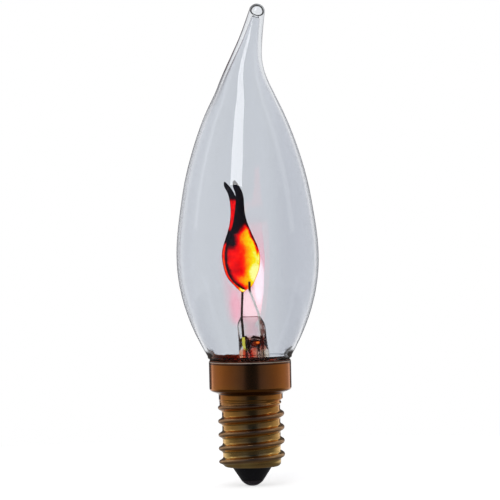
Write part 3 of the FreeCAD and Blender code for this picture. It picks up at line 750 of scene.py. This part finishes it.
for sign, operation in (
        ("add", "ADD"), ("sub", "SUBTRACT"), ("mul", "MULTIPLY"), ("truediv", "DIVIDE"), ("pow", "POWER")):
    setattr(Shade, f"__{sign}__", lambda self, other, kind=operation: self.math(kind, self, other))
    setattr(Shade, f"__r{sign}__", lambda self, other, kind=operation: self.math(kind, other, self))


class Ground:
    """What a finish starts from: the piece's own place in millimetres, noise on it, and its edge attribute."""

    def __init__(self, tree, moved):
        self.start = Shade(tree)
        self.place = self.start.node("ShaderNodeVectorMath", {"operation": "SCALE"},
                                     {0: self.start.node("ShaderNodeTexCoord", output="Object"), "Scale": 1 / MM})
        self.x, self.y, self.z = (
            self.start.node("ShaderNodeSeparateXYZ", (), {0: self.place}, axis) for axis in "XYZ")
        if moved:
            self.x = self.x - moved

    def noise(self, scale, detail=3.0, rough=0.55, stretch=None):
        """Noise between 0 and 1, with that many waves to a millimetre, times the stretch along each axis."""
        place = self.place
        if stretch:
            place = self.start.node("ShaderNodeMapping", (), {"Vector": place, "Scale": stretch})
        return self.start.node("ShaderNodeTexNoise", (), {
            "Vector": place, "Scale": scale, "Detail": detail, "Roughness": rough}, "Fac")

    def edge(self):
        """Millimetres from a sheet's rim."""
        return self.start.node("ShaderNodeAttribute", {"attribute_name": "edge"}, (), "Fac")

    def facing(self):
        """0 where the surface faces the eye and 1 where it turns away."""
        return self.start.node("ShaderNodeLayerWeight", (), {"Blend": 0.5}, "Facing")

    def blob(self, x, z, wide, tall):
        """1 at a point of the plate's face, easing to 0 at an ellipse round it."""
        across, up = (self.x - x) / wide, (self.z - z) / tall
        return (across * across + up * up).fall(0.0, 1.0)

    def surface(self, colour, rough, height, depth, strength=0.5, **more):
        """The usual links: colour, roughness, and a normal from a height, with the depth of height 1 in
        millimetres."""
        normal = self.start.node(
            "ShaderNodeBump", (), {"Height": height, "Distance": depth * MM, "Strength": strength})
        return {"Base_Color": colour, "Roughness": rough, "Normal": normal, **more}


def linear(red, green, blue):
    """A screen colour from 0 to 255 as light."""
    return tuple(((v / 255 + 0.055) / 1.055) ** 2.4 if v > 10 else v / 255 / 12.92 for v in (red, green, blue))


def emptied(holder):
    """The node tree of a material or world, with nothing in it."""
    holder.use_nodes = True
    holder.node_tree.nodes.clear()
    return holder.node_tree


def finish(name, paint, moved=0.0, **constants):
    """A material: constants set on the shader's own sockets, and the links that paint returns. Under a shadow_tint
    its shadow is clear but for that colour."""
    material = bpy.data.materials.new(name)
    tree = emptied(material)
    links = paint(Ground(tree, moved))
    tint = links.pop("shadow_tint", None)
    sockets = {key.replace("_", " "): value for key, value in (constants | links).items()}
    shader = Shade(tree).node("ShaderNodeBsdfPrincipled", {}, sockets)
    if tint:
        clear = shader.node("ShaderNodeBsdfTransparent", (), {"Color": tint})
        shader = shader.node("ShaderNodeMixShader", (), {"Fac": shader.ray("Is Shadow Ray"), 1: shader, 2: clear})
    shader.node("ShaderNodeOutputMaterial", (), {"Surface": shader})
    return material


def blown_glass(g):
    """Clear glass with slow ripples from blowing, drawn out along the bulb. Its colour holds painted shade: greyer
    towards its edges and its right, a dark line down the left of its tip, and shadow at its foot where that turns
    away, with a painted brown reflection of the cap and the glow at the front left of the foot."""
    ripple = g.noise(0.09, 2.0, stretch=(1, 1, 0.4))
    facing = g.facing()
    middle = (0.2456 * (g.z - 86.3)).larger(0.0)
    left = (g.x - middle).fall(-0.5, 0.1)
    # Painted shade: a dark line down the left of the tip
    dark = left * facing.step(0.48, 0.70) * g.z.step(74.0, 88.0)
    dark = dark + 0.7 * left * facing.step(0.86, 0.96) * g.z.step(56.0, 70.0)
    # Painted shadow at the foot where the glass turns away, made metal there too
    foot = facing.step(0.50, 0.64) * g.z.fall(27.7, 28.7)
    # Painted reflection of the cap's inside and the glow: brown at the front left of the foot
    painted_foot_brown = g.z.fall(27.3, 27.9) * g.x.fall(-2.7, -2.1) * g.y.fall(-0.5, 1.0)
    # Painted shade: paler where the glass faces the eye, greyer towards its edges and its right
    pale = facing.fall(0.22, 0.56) * (1 - 0.7 * g.x.step(3.0, 10.0))
    clear = painted_foot_brown.mix(pale.mix((0.725, 0.745, 0.79), (0.808, 0.830, 0.864)), (0.42, 0.16, 0.07))
    colour = dark.smaller(1.0).mix(foot.mix(clear, (0.05, 0.03, 0.02)), (0.03, 0.015, 0.02))
    return g.surface(colour, 0.004 * g.noise(1.5) + 0.6 * foot, ripple, 0.05, 0.35,
                     Metallic=foot, shadow_tint=(0.80, 0.82, 0.85))


# Painted reflections of the cement, brass and glowing plates, in upright stripes across the stem below the fold
PAINTED_STEM_REFLECTIONS = (
    (0.02, (1.0, 0.42, 0.22)), (0.08, (1.0, 0.62, 0.48)), (0.13, (1.0, 0.26, 0.10)), (0.20, (0.95, 0.20, 0.08)),
    (0.225, (0.14, 0.05, 0.05)), (0.26, (0.14, 0.05, 0.05)), (0.28, (1.0, 0.62, 0.62)), (0.35, (1.0, 0.70, 0.70)),
    (0.37, (0.85, 0.20, 0.14)), (0.40, (0.85, 0.20, 0.12)), (0.42, (1.0, 0.64, 0.54)), (0.60, (1.0, 0.76, 0.68)),
    (0.66, (1.0, 0.96, 0.94)), (0.69, (0.42, 0.28, 0.24)), (0.72, (0.96, 0.88, 0.84)), (0.76, (0.30, 0.16, 0.12)),
    (0.82, (0.88, 0.73, 0.58)), (0.89, (0.70, 0.55, 0.42)), (0.92, (0.92, 0.82, 0.70)), (0.97, (0.90, 0.80, 0.68)))


def drawn_glass(g):
    """Stem glass with lengthwise lines from drawing and small seeds, with painted shade at its rounded edges. Its
    colour is painted reflection: below the fold, upright stripes of the cement, brass and glowing plates, red at the
    left and beige at the right; above, red low in the press and the glow's pink between the leads, with painted
    shade, brown, beside the right-hand lead."""
    lines = g.noise(1.2, 3.0, stretch=(1, 1, 0.08))
    seeds, patches = g.noise(2.6, 4.0), g.noise(0.9, 4.0)
    across = g.x - STEM_SHIFT - math.tan(STEM_LEAN) * (PRESS_TOP - g.z) + 0.25 * (lines - 0.5)
    # Painted reflections in upright stripes
    stripes = (across / 6 + 0.5).ramp(*PAINTED_STEM_REFLECTIONS)
    # Painted reflection of the glow: pink between the leads
    pink = g.blob(0.45, 32.1, 2.0, 2.2).mix((0.92, 0.92, 0.89), (1.0, 0.76, 0.80))
    # Painted shade beside the right-hand lead
    brown = across.step(1.65, 1.9) * (0.5 + 0.5 * patches.step(0.38, 0.52))
    press = brown.mix(pink, (0.18, 0.06, 0.045))
    # Painted reflection of the glow: red low in the press
    painted_red_glow = g.z.fall(30.4, 31.5) * (0.6 + 0.4 * seeds) * across.step(-1.4, -1.1)
    press = painted_red_glow.mix(press, (0.70, 0.24, 0.15))
    colour = g.z.step(28.3, 28.9).mix(stripes, press)
    colour = g.z.step(24.0, 25.0).mix((0.93, 0.95, 0.90), colour)
    # Painted shade at the rounded edges
    colour = g.facing().step(0.58, 0.88).mix(colour, (0.16, 0.08, 0.07))
    return g.surface(colour, 0.01 + 0.02 * seeds, lines * 0.7 + seeds * 0.3, 0.05, 0.35,
                     shadow_tint=(0.86, 0.88, 0.82))


def painted_halo(g):
    """Painted halo of the flame's light: pale pink, whiter at the right foot, thin at the left and towards the top,
    in faint upright streaks.
    """
    streaks = g.noise(0.6, 3.0, stretch=(1.6, 1, 0.3))
    foot, right, beside = g.blob(0.9, 37.6, 3.2, 4.6), g.blob(2.5, 42.5, 1.7, 6.5), g.blob(-2.7, 37.0, 1.5, 4.6)
    shown = g.edge().step(0.0, 2.8) * g.z.fall(47.5, 57.0) * g.z.step(32.5, 34.6)
    shown = shown * g.blob(-1.6, 46.3, 3.7, 6.4).fall(0.02, 0.3)
    level = (0.14 + 0.14 * foot + 0.18 * right + 0.12 * beside) * shown * (0.8 + 0.4 * streaks)
    colour = foot.step(0.2, 0.8).mix((0.83, 0.17, 0.27), (1.0, 0.56, 0.62))
    return {"Alpha": level, "Emission_Color": right.step(0.1, 0.9).mix(colour, (0.98, 0.76, 0.84)),
            "Roughness": 0.9 + 0.1 * streaks}


def scorched_glass(g):
    """Burnt brown fold with red-brown streaks, and one spot of painted light: the plate's orange glow mirrored in
    it.
    """
    mottle = g.noise(1.6, 5.0, 0.7)
    spot = g.blob(1.86, 29.6, 0.46, 0.40) + 0.3 * g.blob(1.3, 29.5, 0.6, 0.5)
    colour = mottle.step(0.42, 0.75).mix((0.006, 0.001, 0.001), (0.22, 0.030, 0.012))
    # Painted light: the plate's glow mirrored in the fold, given as emission
    heat = (spot + 0.30 * mottle.step(0.58, 0.70)).ramp(
        (0.0, (0.004, 0.0006, 0.0004)), (0.2, (0.10, 0.018, 0.003)), (0.35, (0.25, 0.05, 0.003)),
        (0.75, (0.95, 0.24, 0.01)), (1.0, (1.0, 0.45, 0.06)))
    colour = g.blob(0.85, 29.25, 0.40, 0.28).mix(colour, (0.30, 0.05, 0.035))
    return g.surface(colour, 0.35 + 0.4 * mottle, mottle, 0.08, 0.6, Emission_Color=heat)


def painted_neck_shade(g):
    """Painted shade in the neck: brown, black where it climbs at the sides, and redder towards the stem with the
    glow's painted reflection.
    """
    grain, patches = g.noise(3.5, 5.0, 0.7), g.noise(0.5, 3.0)
    colour = ((g.x + 8.6) / 8 + 0.3 * (patches - 0.5)).ramp(
        (0.0, (0.040, 0.028, 0.016)), (0.06, (0.07, 0.040, 0.018)), (0.12, (0.42, 0.130, 0.040)),
        (0.5, (0.45, 0.060, 0.010)), (0.8, (0.75, 0.055, 0.006)), (1.0, (0.75, 0.08, 0.02)))
    colour = g.x.step(5.0, 7.5).mix(colour, (0.035, 0.022, 0.014))
    colour = grain.step(0.5, 0.8).mix(colour, (0.20, 0.07, 0.03))
    return g.surface(colour, 0.45 + 0.4 * grain, grain, 0.05, Alpha=0.93 + 0.07 * patches)


def bubble_wall(g):
    """The void's wall in the bead: clear to look through, with painted shade where it turns away, for the bead's
    inside mirrored there.
    """
    ripple = g.noise(0.8, 2.0)
    return {"Base_Color": ripple.mix((0.010, 0.011, 0.009), (0.035, 0.036, 0.030)),
            "Alpha": g.facing().step(0.30, 0.46), "Roughness": 0.2 + 0.2 * ripple}


def rolled_brass(g):
    """Toned brass: red-brown on the skirt and yellow at the foot of the thread, worn grey on the crests, with fine
    turning marks round the cap and dark specks; painted shadow under the skirt's shoulder, and at the rim a painted
    highlight, dull grey and not metal, over a painted shadow line."""
    marks = g.noise(0.9, 4.0, stretch=(0.4, 0.4, 9))
    patches = g.noise(0.22, 4.0)
    specks = g.noise(2.4, 5.0, 0.65).step(0.60, 0.74)
    tone = patches.step(0.35, 0.7)
    out = (g.x * g.x + g.y * g.y) ** 0.5
    crest = out.band(6.35, 6.8, 7.0, 7.6) * g.z.fall(17.3, 17.7)
    rim = g.z.step(25.80, 25.86)
    colour = ((g.z + 2.5 * (patches - 0.5) - 4) / 22).ramp(
        (0.0, (0.92, 0.62, 0.22)), (0.30, (0.88, 0.52, 0.15)), (0.55, (0.76, 0.36, 0.08)),
        (0.68, (0.62, 0.24, 0.045)), (0.80, (0.60, 0.20, 0.05)), (1.0, (0.62, 0.20, 0.04)))
    for where, over in (
            (tone * 0.35, (0.46, 0.155, 0.036)),
            (crest * 0.8, (0.50, 0.29, 0.16)),
            (specks * 0.45, (0.13, 0.06, 0.03)),
            # Painted shadow under the skirt's shoulder
            (g.z.band(19.0, 19.3, 19.9, 20.25) * 0.88, (0.10, 0.035, 0.012)),
            # Painted shadow line under the rim
            (g.z.band(25.40, 25.55, 25.74, 25.80) * 0.85, (0.08, 0.04, 0.03)),
            # Painted highlight on the rim: dull grey, and not metal so that the lamps light it
            (rim, patches.step(0.35, 0.65).mix((0.24, 0.25, 0.20), (0.50, 0.40, 0.34)))):
        colour = where.mix(colour, over)
    rough = 0.10 + 0.07 * tone + 0.06 * marks + 0.2 * specks + 0.16 * crest + 0.25 * rim
    return g.surface(colour, rough, marks * 0.6 + patches * 0.4, 0.02, 0.35, Metallic=1 - rim)


def pressed_black_glass(g):
    """Black glass with mould flow and dust."""
    dust = g.noise(5.0, 4.0, 0.7).step(0.6, 0.8)
    colour = dust.mix((0.0045, 0.004, 0.006), (0.03, 0.027, 0.03))
    return g.surface(colour, 0.13 + 0.25 * dust, g.noise(0.8, 3.0), 0.05, 0.4)


def dull_plate(g):
    """The contact plate: dark violet grey, wiped bright in turning scratches."""
    scratch = g.noise(2.2, 4.0, stretch=(1, 0.2, 3))
    colour = scratch.step(0.45, 0.75).mix((0.10, 0.075, 0.10), (0.32, 0.28, 0.30))
    return g.surface(colour, 0.28 + 0.2 * scratch, scratch, 0.02, 0.4)


def tin_solder(g):
    """Solder skin: soft grey with frosted grains and a few dark flux specks."""
    grain = g.noise(3.0, 4.0)
    flux = g.noise(1.3, 3.0).step(0.62, 0.76) * 0.7
    colour = flux.mix(grain.step(0.3, 0.7).mix((0.16, 0.14, 0.17), (0.34, 0.31, 0.33)), (0.06, 0.035, 0.02))
    return g.surface(colour, 0.25 + 0.3 * grain, grain, 0.04)


def brown_cement(g):
    """Baked cement: red-brown, grainy, with dark glossy crumbs."""
    grain, crumb = g.noise(4.0, 6.0, 0.7), g.noise(1.0, 4.0)
    colour = crumb.step(0.35, 0.65).mix((0.055, 0.016, 0.008), (0.16, 0.045, 0.016))
    colour = grain.step(0.55, 0.75).mix(colour, (0.24, 0.10, 0.04))
    return g.surface(colour, 0.5 + 0.4 * grain, grain, 0.08, 0.7)


def drawn_wire(dark, bright):
    """Drawn wire with lengthwise die marks and patches of oxide."""
    def paint(g):
        marks = g.noise(3.0, 3.0, stretch=(4, 4, 0.3))
        oxide = g.noise(1.1, 4.0).step(0.4, 0.65)
        return g.surface(oxide.mix(bright, dark), 0.25 + 0.2 * marks + 0.15 * oxide, marks, 0.01)
    return paint


def sleeved_wire(g):
    """The front lead: pale oxide up to the plate's foot, and burnt dark where it is welded."""
    marks, oxide = g.noise(3.0, 3.0, stretch=(4, 4, 0.3)), g.noise(1.1, 4.0)
    pale = oxide.step(0.35, 0.7).mix((0.93, 0.89, 0.86), (0.72, 0.67, 0.60))
    burnt = (g.z + 0.5 * oxide).step(40.2, 41.0)
    # Painted light: the flame's glow on the pale oxide, given as emission
    lit = burnt.mix(oxide.mix((0.30, 0.28, 0.27), (0.17, 0.15, 0.14)), (0.0, 0.0, 0.0))
    return g.surface(burnt.mix(pale, (0.05, 0.008, 0.005)), 0.35 + 0.2 * marks, marks, 0.01, Emission_Color=lit)


def borated_wire(g):
    """The left seal: a yellow-green glaze, thinner at its ends."""
    glaze = g.noise(1.6, 4.0)
    ends = (g.z.step(30.5, 31.0) + g.z.fall(28.6, 29.0)) * 0.6
    colour = ends.mix(glaze.step(0.35, 0.65).mix((0.80, 0.74, 0.10), (0.55, 0.56, 0.08)), (0.30, 0.26, 0.08))
    # Painted light: the flame's glow on the glaze, given as emission
    lit = glaze.ramp((0.0, (0.30, 0.28, 0.03)), (1.0, (0.80, 0.74, 0.10)))
    return g.surface(colour, 0.15 + 0.2 * glaze, glaze, 0.03, Emission_Color=lit)


def resistor_lacquer(g):
    """Lacquer over a ceramic rod, pooled a little at the end caps."""
    pool = g.noise(0.8, 3.0)
    colour = pool.step(0.3, 0.7).mix((0.26, 0.20, 0.12), (0.40, 0.33, 0.22))
    return g.surface(colour, 0.18 + 0.15 * pool, pool, 0.05, 0.4)


GLOW = tuple((place, linear(*colour)) for place, colour in (
    (0.00, (8, 5, 6)), (0.08, (44, 3, 4)), (0.20, (150, 0, 0)), (0.32, (228, 2, 0)), (0.42, (254, 12, 0)),
    (0.54, (255, 60, 0)), (0.66, (254, 140, 0)), (0.80, (253, 194, 0)), (0.90, (248, 232, 20)),
    (1.00, (255, 252, 150))))


def front_glow(g):
    """Heat of the glow on the front plate: red at its left, rising through orange to yellow at its right foot, with
    a dim spot low on the left, and dark above a ragged line that drops towards the left."""
    slow, ragged, fine = g.noise(0.42, 2.0) - 0.5, g.noise(0.9, 4.0) - 0.5, g.noise(3.0, 4.0, 0.7) - 0.5
    heat = ((g.x + 0.7 * ragged + 0.3 * fine + 4.4) / 6.9).ramp(
        (0.0, 0.30), (0.18, 0.37), (0.40, 0.42), (0.54, 0.49), (0.64, 0.67), (0.73, 0.80), (0.84, 0.86), (1.0, 0.93))
    for more, spot in ((0.15, (-0.5, 51.2, 1.5, 2.2)), (0.15, (1.5, 44.2, 1.5, 2.6)),
                       (0.15, (-1.5, 42.6, 2.2, 1.5)), (-0.09, (-1.9, 45.2, 2.0, 1.8))):
        heat = heat + more * g.blob(*spot)
    heat = heat + 0.28 * slow + 0.16 * ragged + 0.14 * fine
    above = (g.z - g.x + 1.6 * ragged + 0.8 * fine).step(53.0, 55.4)
    left = (-2.0 - g.x + 1.6 * ragged + 0.6 * fine).step(-0.8, 0.8)
    dark = above.larger(left * (g.z + 1.8 * ragged + 0.8 * fine).step(48.2, 50.8))
    side = (g.x + 0.35 * (44 - g.z)).step(0.2, 1.2)
    rim = ((g.edge() + 0.7 * ragged) / (1 + 0.9 * g.z.fall(42.0, 47.5))).fall(0.14, 0.80) * (1 - side)
    right_rim = g.edge().fall(0.02, 0.20) * side
    return heat * (1 - dark) * (1 - 0.88 * rim) * (1 - 0.38 * right_rim)


def back_glow(g):
    """Heat of the glow on the back plate: red up its neck and its left edge with an orange line and dark flecks,
    dark at the shoulder between them."""
    ragged, mottle = g.noise(0.9, 4.0) - 0.5, g.noise(2.0, 5.0, 0.75) - 0.5
    heat = 0.36 + 0.7 * mottle + 0.50 * g.blob(-0.9, 40.4, 1.4, 1.1) + 0.34 * g.blob(-0.6, 44.6, 3.2, 5.2)
    line = (g.edge() + 0.1 * ragged).band(0.16, 0.26, 0.30, 0.42)
    heat = heat + 0.22 * line * g.blob(-4.6, 46.5, 2.0, 5.0)
    heat = heat + 0.14 * g.blob(-3.6, 42.8, 2.4, 2.0) * mottle.step(0.0, 0.2)
    shoulder = (g.z + 0.8 * ragged).band(49.9, 50.9, 52.6, 53.8)
    dark = shoulder.larger((g.z + 0.6 * ragged).step(58.8, 60.0))
    rim = (g.edge() + 0.15 * ragged).fall(0.03, 0.30)
    return heat * (1 - dark) * (1 - 0.5 * rim)


def plate_finish(glowing):
    """A sooty stamped sheet under its glow; the glow is the same on both faces."""
    def paint(g):
        soot = g.noise(1.6, 5.0)
        colour = soot.step(0.35, 0.7).mix((0.003, 0.002, 0.002), (0.011, 0.007, 0.006))
        return g.surface(colour, 0.55 + 0.3 * soot, soot, 0.02, Emission_Color=glowing(g).ramp(*GLOW))
    return paint


glass = finish("clear_bulb_glass", blown_glass, Transmission_Weight=1.0, IOR=1.5)
stem_finish = finish("stem_glass", drawn_glass, Transmission_Weight=1.0, IOR=1.5)
brass = finish("rolled_brass", rolled_brass)
black_glass = finish("black_glass", pressed_black_glass, IOR=1.5)
contact_metal = finish("contact_metal", dull_plate, Metallic=1.0)
solder = finish("solder", tin_solder, Metallic=1.0)
cement = finish("basing_cement", brown_cement)
nickel = finish("lead_nickel", drawn_wire((0.05, 0.03, 0.03), (0.20, 0.13, 0.11)), Metallic=1.0)
right_nickel = finish("right_lead_nickel", sleeved_wire, Emission_Strength=1.0)
seal_metal = finish("seal_metal", drawn_wire((0.16, 0.03, 0.015), (0.38, 0.07, 0.03)), Metallic=0.4)
borated_seal = finish("borated_seal", borated_wire, Emission_Strength=1.0)
# Painted halo: a sheet that glows with the flame's light
halo = finish("painted_halo_glow", painted_halo, moved=INNER_SHIFT, Base_Color=(0.0, 0.0, 0.0), Emission_Strength=1.85,
              Specular_IOR_Level=0.0)
moved_in = {"moved": INNER_SHIFT, "Specular_IOR_Level": 0.1}
scorch = finish("scorched_fold", scorched_glass, Emission_Strength=1.3, **moved_in)
neck_shade_finish = finish("painted_neck_shade", painted_neck_shade)
void = finish("bead_void", bubble_wall, Specular_IOR_Level=0.1)
copper = finish("copper_wire", drawn_wire((0.22, 0.09, 0.04), (0.55, 0.24, 0.12)), Metallic=1.0)
lacquer = finish("resistor_lacquer", resistor_lacquer, Coat_Weight=0.5)
front_lit = finish("front_flame_glow", plate_finish(front_glow), Emission_Strength=1.32, **moved_in)
back_lit = finish("back_flame_glow", plate_finish(back_glow), Emission_Strength=1.32, **moved_in)


# Pieces: each takes its finish, and the solid it stands for, if it has one, is hidden

beside = LEAD_SPACING / 2
behind = (PLATE_GAP + PLATE_SHEET) / 2
weld_reach = PLATE_GAP / 2 + PLATE_SHEET + LEAD_RADIUS - 0.05

bulb = glass_envelope()
for piece, material, slot, *nodes in (
        (bulb, glass, "clear_glass", "glass_envelope"),
        (cap_shell(), brass, "cap_brass", "cap_shell"),
        (cap_insulator(), black_glass, "black_glass", "cap_insulator"),
        (centre_contact(), contact_metal, "contact_metal", "centre_contact"),
        (centre_solder(), solder, "solder", "centre_solder"),
        (basing_cement(), cement, "basing_cement", "basing_cement"),
        (stem_glass(), stem_finish, "stem_glass", "stem_tube"),
        (exhaust_tube(), stem_finish, "stem_glass", "exhaust_tube"),
        (lead("left_plate_lead", -beside, LEFT_WELD, weld_reach, PLATE_FOOT), nickel, "lead_nickel",
         "inner_lead_left"),
        (lead("right_plate_lead", beside, RIGHT_WELD, -weld_reach, FRONT_FOOT), right_nickel, "lead_nickel",
         "inner_lead_right"),
        (seal_wire("left_seal", -beside), borated_seal, "seal_metal", "seal_wire_left"),
        (seal_wire("right_seal", beside), seal_metal, "seal_metal", "seal_wire_right"),
        (flame_plate("front_flame", FRONT_OUTLINE, FRONT_HEIGHT, FRONT_FOOT, -behind), front_lit, "flame_metal",
         "flame_plate_front"),
        (flame_plate("back_flame", BACK_OUTLINE, BACK_HEIGHT, PLATE_FOOT, behind), back_lit, "flame_metal",
         "flame_plate_back"),
        # Painted halo of the flame's light, as a glowing sheet
        (veil("painted_halo_sheet", HALO_RIGHT, HALO_LEFT, HALO_BEHIND, 120, fade_last=True), halo, "clear_glass"),
        (veil("pinch_fold", FOLD_TOP, FOLD_FOOT, FOLD_BEHIND, 140), scorch, "stem_glass"),
        # Painted shade and reflection, as a sheet inside the neck
        (neck_shade_sheet(), neck_shade_finish, "basing_cement"),
        (bead_bubble(), void, "clear_glass")):
    piece.data.materials.append(material)
    if nodes:
        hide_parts(*nodes)

carried = {
    "outer_lead_left": copper, "outer_lead_right": copper, "resistor_lead_upper": copper,
    "resistor_lead_lower": copper, "ballast_resistor": lacquer, "side_solder": solder,
}
for node, material in carried.items():
    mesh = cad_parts[node].data
    mesh.materials.clear()
    mesh.materials.append(material)


# Stage, light and camera

PIXELS = 500
PIXEL = 0.2075 * MM
TARGET = (0.530 * MM, 0.0, 48.996 * MM)
DISTANCE = 0.80
ELEVATION = math.radians(1.6)
LEAN_IN_PHOTO = math.radians(1.28)
SENSOR = 36.0
FLOOR_RADIUS = 0.13
FLOOR_SIDES = 96
LAMP_TARGET = (0, 0, 0.05)
LAMP_DISTANCE = 1.5

# The room's brightness from straight behind the bulb, 0, to straight in front of it, 1, for the bulb turned so far
FACED = math.radians(4.0)
ROOM_IN_GLOSS = (
    (0.0, (0.07, 0.07, 0.08)), (0.082, (0.09, 0.09, 0.10)), (0.108, 0.90), (0.145, 0.85), (0.175, 0.46),
    (0.24, 0.42), (0.40, 0.35), (0.56, (0.26, 0.26, 0.27)), (0.70, (0.20, 0.20, 0.22)), (0.86, (0.14, 0.16, 0.24)),
    (0.955, (0.085, 0.11, 0.22)), (0.985, (0.018, 0.03, 0.08)), (1.0, (0.010, 0.02, 0.055)))
ROOM_IN_GLASS = ((0.0, 1.0), (0.18, 1.0), (0.34, 0.80), (0.50, 0.45), (0.70, 0.12), (1.0, 0.01))
# The floor's, from its front edge to its back edge
FLOOR_IN_GLOSS = ((0.0, 0.03), (0.42, 0.05), (0.52, 0.12), (0.64, 0.45), (0.82, 1.0))


def stage_floor():
    """A pale round table top under the contact, brighter where the camera sees it and darker to the front in
    reflections."""
    mesh = bpy.data.meshes.new("floor")
    turn = circle(FLOOR_SIDES)
    mesh.from_pydata(ring(FLOOR_RADIUS, 0, turn).tolist(), [], [list(range(FLOOR_SIDES))])
    material = bpy.data.materials.new("pale_floor")
    start = Shade(emptied(material))
    matt = start.node("ShaderNodeBsdfDiffuse", (), {"Color": (0.80, 0.80, 0.80)})
    shine = start.node("ShaderNodeEmission", (), {"Color": (1, 1, 1), "Strength": 0.62})
    bright = start.node("ShaderNodeAddShader", (), {0: matt, 1: shine})
    place = start.node("ShaderNodeTexCoord", output="Object")
    back = start.node("ShaderNodeSeparateXYZ", (), {0: place}, "Y") / (2 * FLOOR_RADIUS) + 0.5
    mirrored = start.node("ShaderNodeEmission", (), {"Color": back.ramp(*FLOOR_IN_GLOSS), "Strength": 1.0})
    glass_ray = start.ray("Is Transmission Ray")
    seen = (start.ray("Is Camera Ray") + glass_ray).smaller(1.0)
    reflected = (start.ray("Is Glossy Ray") + glass_ray * start.ray("Glossy Depth")).smaller(1.0)
    shown = start.node("ShaderNodeMixShader", (), {"Fac": seen, 1: matt, 2: bright})
    mixed = start.node("ShaderNodeMixShader", (), {"Fac": reflected, 1: shown, 2: mirrored})
    start.node("ShaderNodeOutputMaterial", (), {"Surface": mixed})
    mesh.materials.append(material)
    placed("floor", mesh)


def studio_world():
    """White where the camera looks at it or straight through glass, and an even level for matt light. Reflections
    see white behind the bulb, a grey room at its sides and the photographer's dark half of the room in front."""
    world = bpy.data.worlds.new("studio")
    bpy.context.scene.world = world
    start = Shade(emptied(world))
    way = start.node("ShaderNodeTexCoord", output="Generated")
    x, y = (start.node("ShaderNodeSeparateXYZ", (), {0: way}, axis) for axis in "XY")
    level = ((x * x + y * y) ** 0.5).larger(0.02)
    front = 0.5 + 0.5 * (x * math.sin(FACED) - y * math.cos(FACED)) / level
    inside = front.ramp(*ROOM_IN_GLASS)
    through = start.ray("Glossy Depth").smaller(1.0).mix((1.0, 1.0, 1.0), inside)
    colour = start.ray("Is Glossy Ray").mix((0.42, 0.42, 0.43), front.ramp(*ROOM_IN_GLOSS))
    colour = start.ray("Is Transmission Ray").mix(colour, through)
    colour = start.ray("Is Camera Ray").mix(colour, (1.0, 1.0, 1.0))
    shine = start.node("ShaderNodeBackground", (), {"Color": colour, "Strength": 1.0})
    start.node("ShaderNodeOutputWorld", (), {"Surface": shine})


def aimed(thing, azimuth, elevation, distance, target, roll=0.0):
    """Puts a lamp or camera at a distance from its target, to the right of straight in front and above it by two
    angles, rolled about its own line of sight."""
    level = distance * math.cos(elevation)
    place = Vector(target) + Vector(
        (level * math.sin(azimuth), -level * math.cos(azimuth), distance * math.sin(elevation)))
    back = (place - Vector(target)).normalized()
    right = Vector((0, 0, 1)).cross(back).normalized()
    turn = Matrix((right, back.cross(right), back)).transposed() @ Matrix.Rotation(roll, 3, "Z")
    thing.matrix_world = Matrix.Translation(place) @ turn.to_4x4()


def softbox(name, azimuth, elevation, wide, tall, radiance, mirrored_by=None, **seen):
    """A rectangular lamp aimed at the bulb: its power is pi times its area times its radiance. One that a piece
    mirrors shines on that piece alone, and its matt light is left to the others."""
    lamp = bpy.data.lights.new(name, "AREA")
    lamp.shape = "RECTANGLE"
    lamp.size, lamp.size_y = wide, tall
    lamp.energy = math.pi * wide * tall * radiance
    holder = placed(name, lamp)
    aimed(holder, math.radians(azimuth), math.radians(elevation), LAMP_DISTANCE, LAMP_TARGET)
    if mirrored_by is not None:
        mirrors = bpy.data.collections.new(name + "_mirrors")
        mirrors.objects.link(mirrored_by)
        holder.light_linking.receiver_collection = mirrors
        holder.visible_diffuse = False
    for rays, visible in seen.items():
        setattr(holder, rays, visible)


def photo_camera():
    """A long lens that shows the photograph's scale at the bulb's axis, rolled by the bulb's lean there."""
    camera = bpy.data.cameras.new("camera")
    camera.sensor_fit = "HORIZONTAL"
    camera.sensor_width = SENSOR
    camera.lens = SENSOR * DISTANCE / (PIXELS * PIXEL)
    camera.clip_start = 0.01
    holder = placed("camera", camera)
    aimed(holder, 0, ELEVATION, DISTANCE, TARGET, -LEAN_IN_PHOTO)
    bpy.context.scene.camera = holder


stage_floor()
studio_world()
softbox("key_softbox", -13, 38, 0.62, 0.90, 3.4, visible_glossy=False, visible_transmission=False)
softbox("strip_softbox", -18.6, 41.4, 0.58, 1.02, 6.2, mirrored_by=bulb, visible_transmission=False)
softbox("left_window", -97, 30, 0.22, 1.2, 0.55)
softbox("right_window", 82, 30, 0.30, 1.2, 0.45)
photo_camera()

bpy.context.scene.view_settings.view_transform = "Standard"
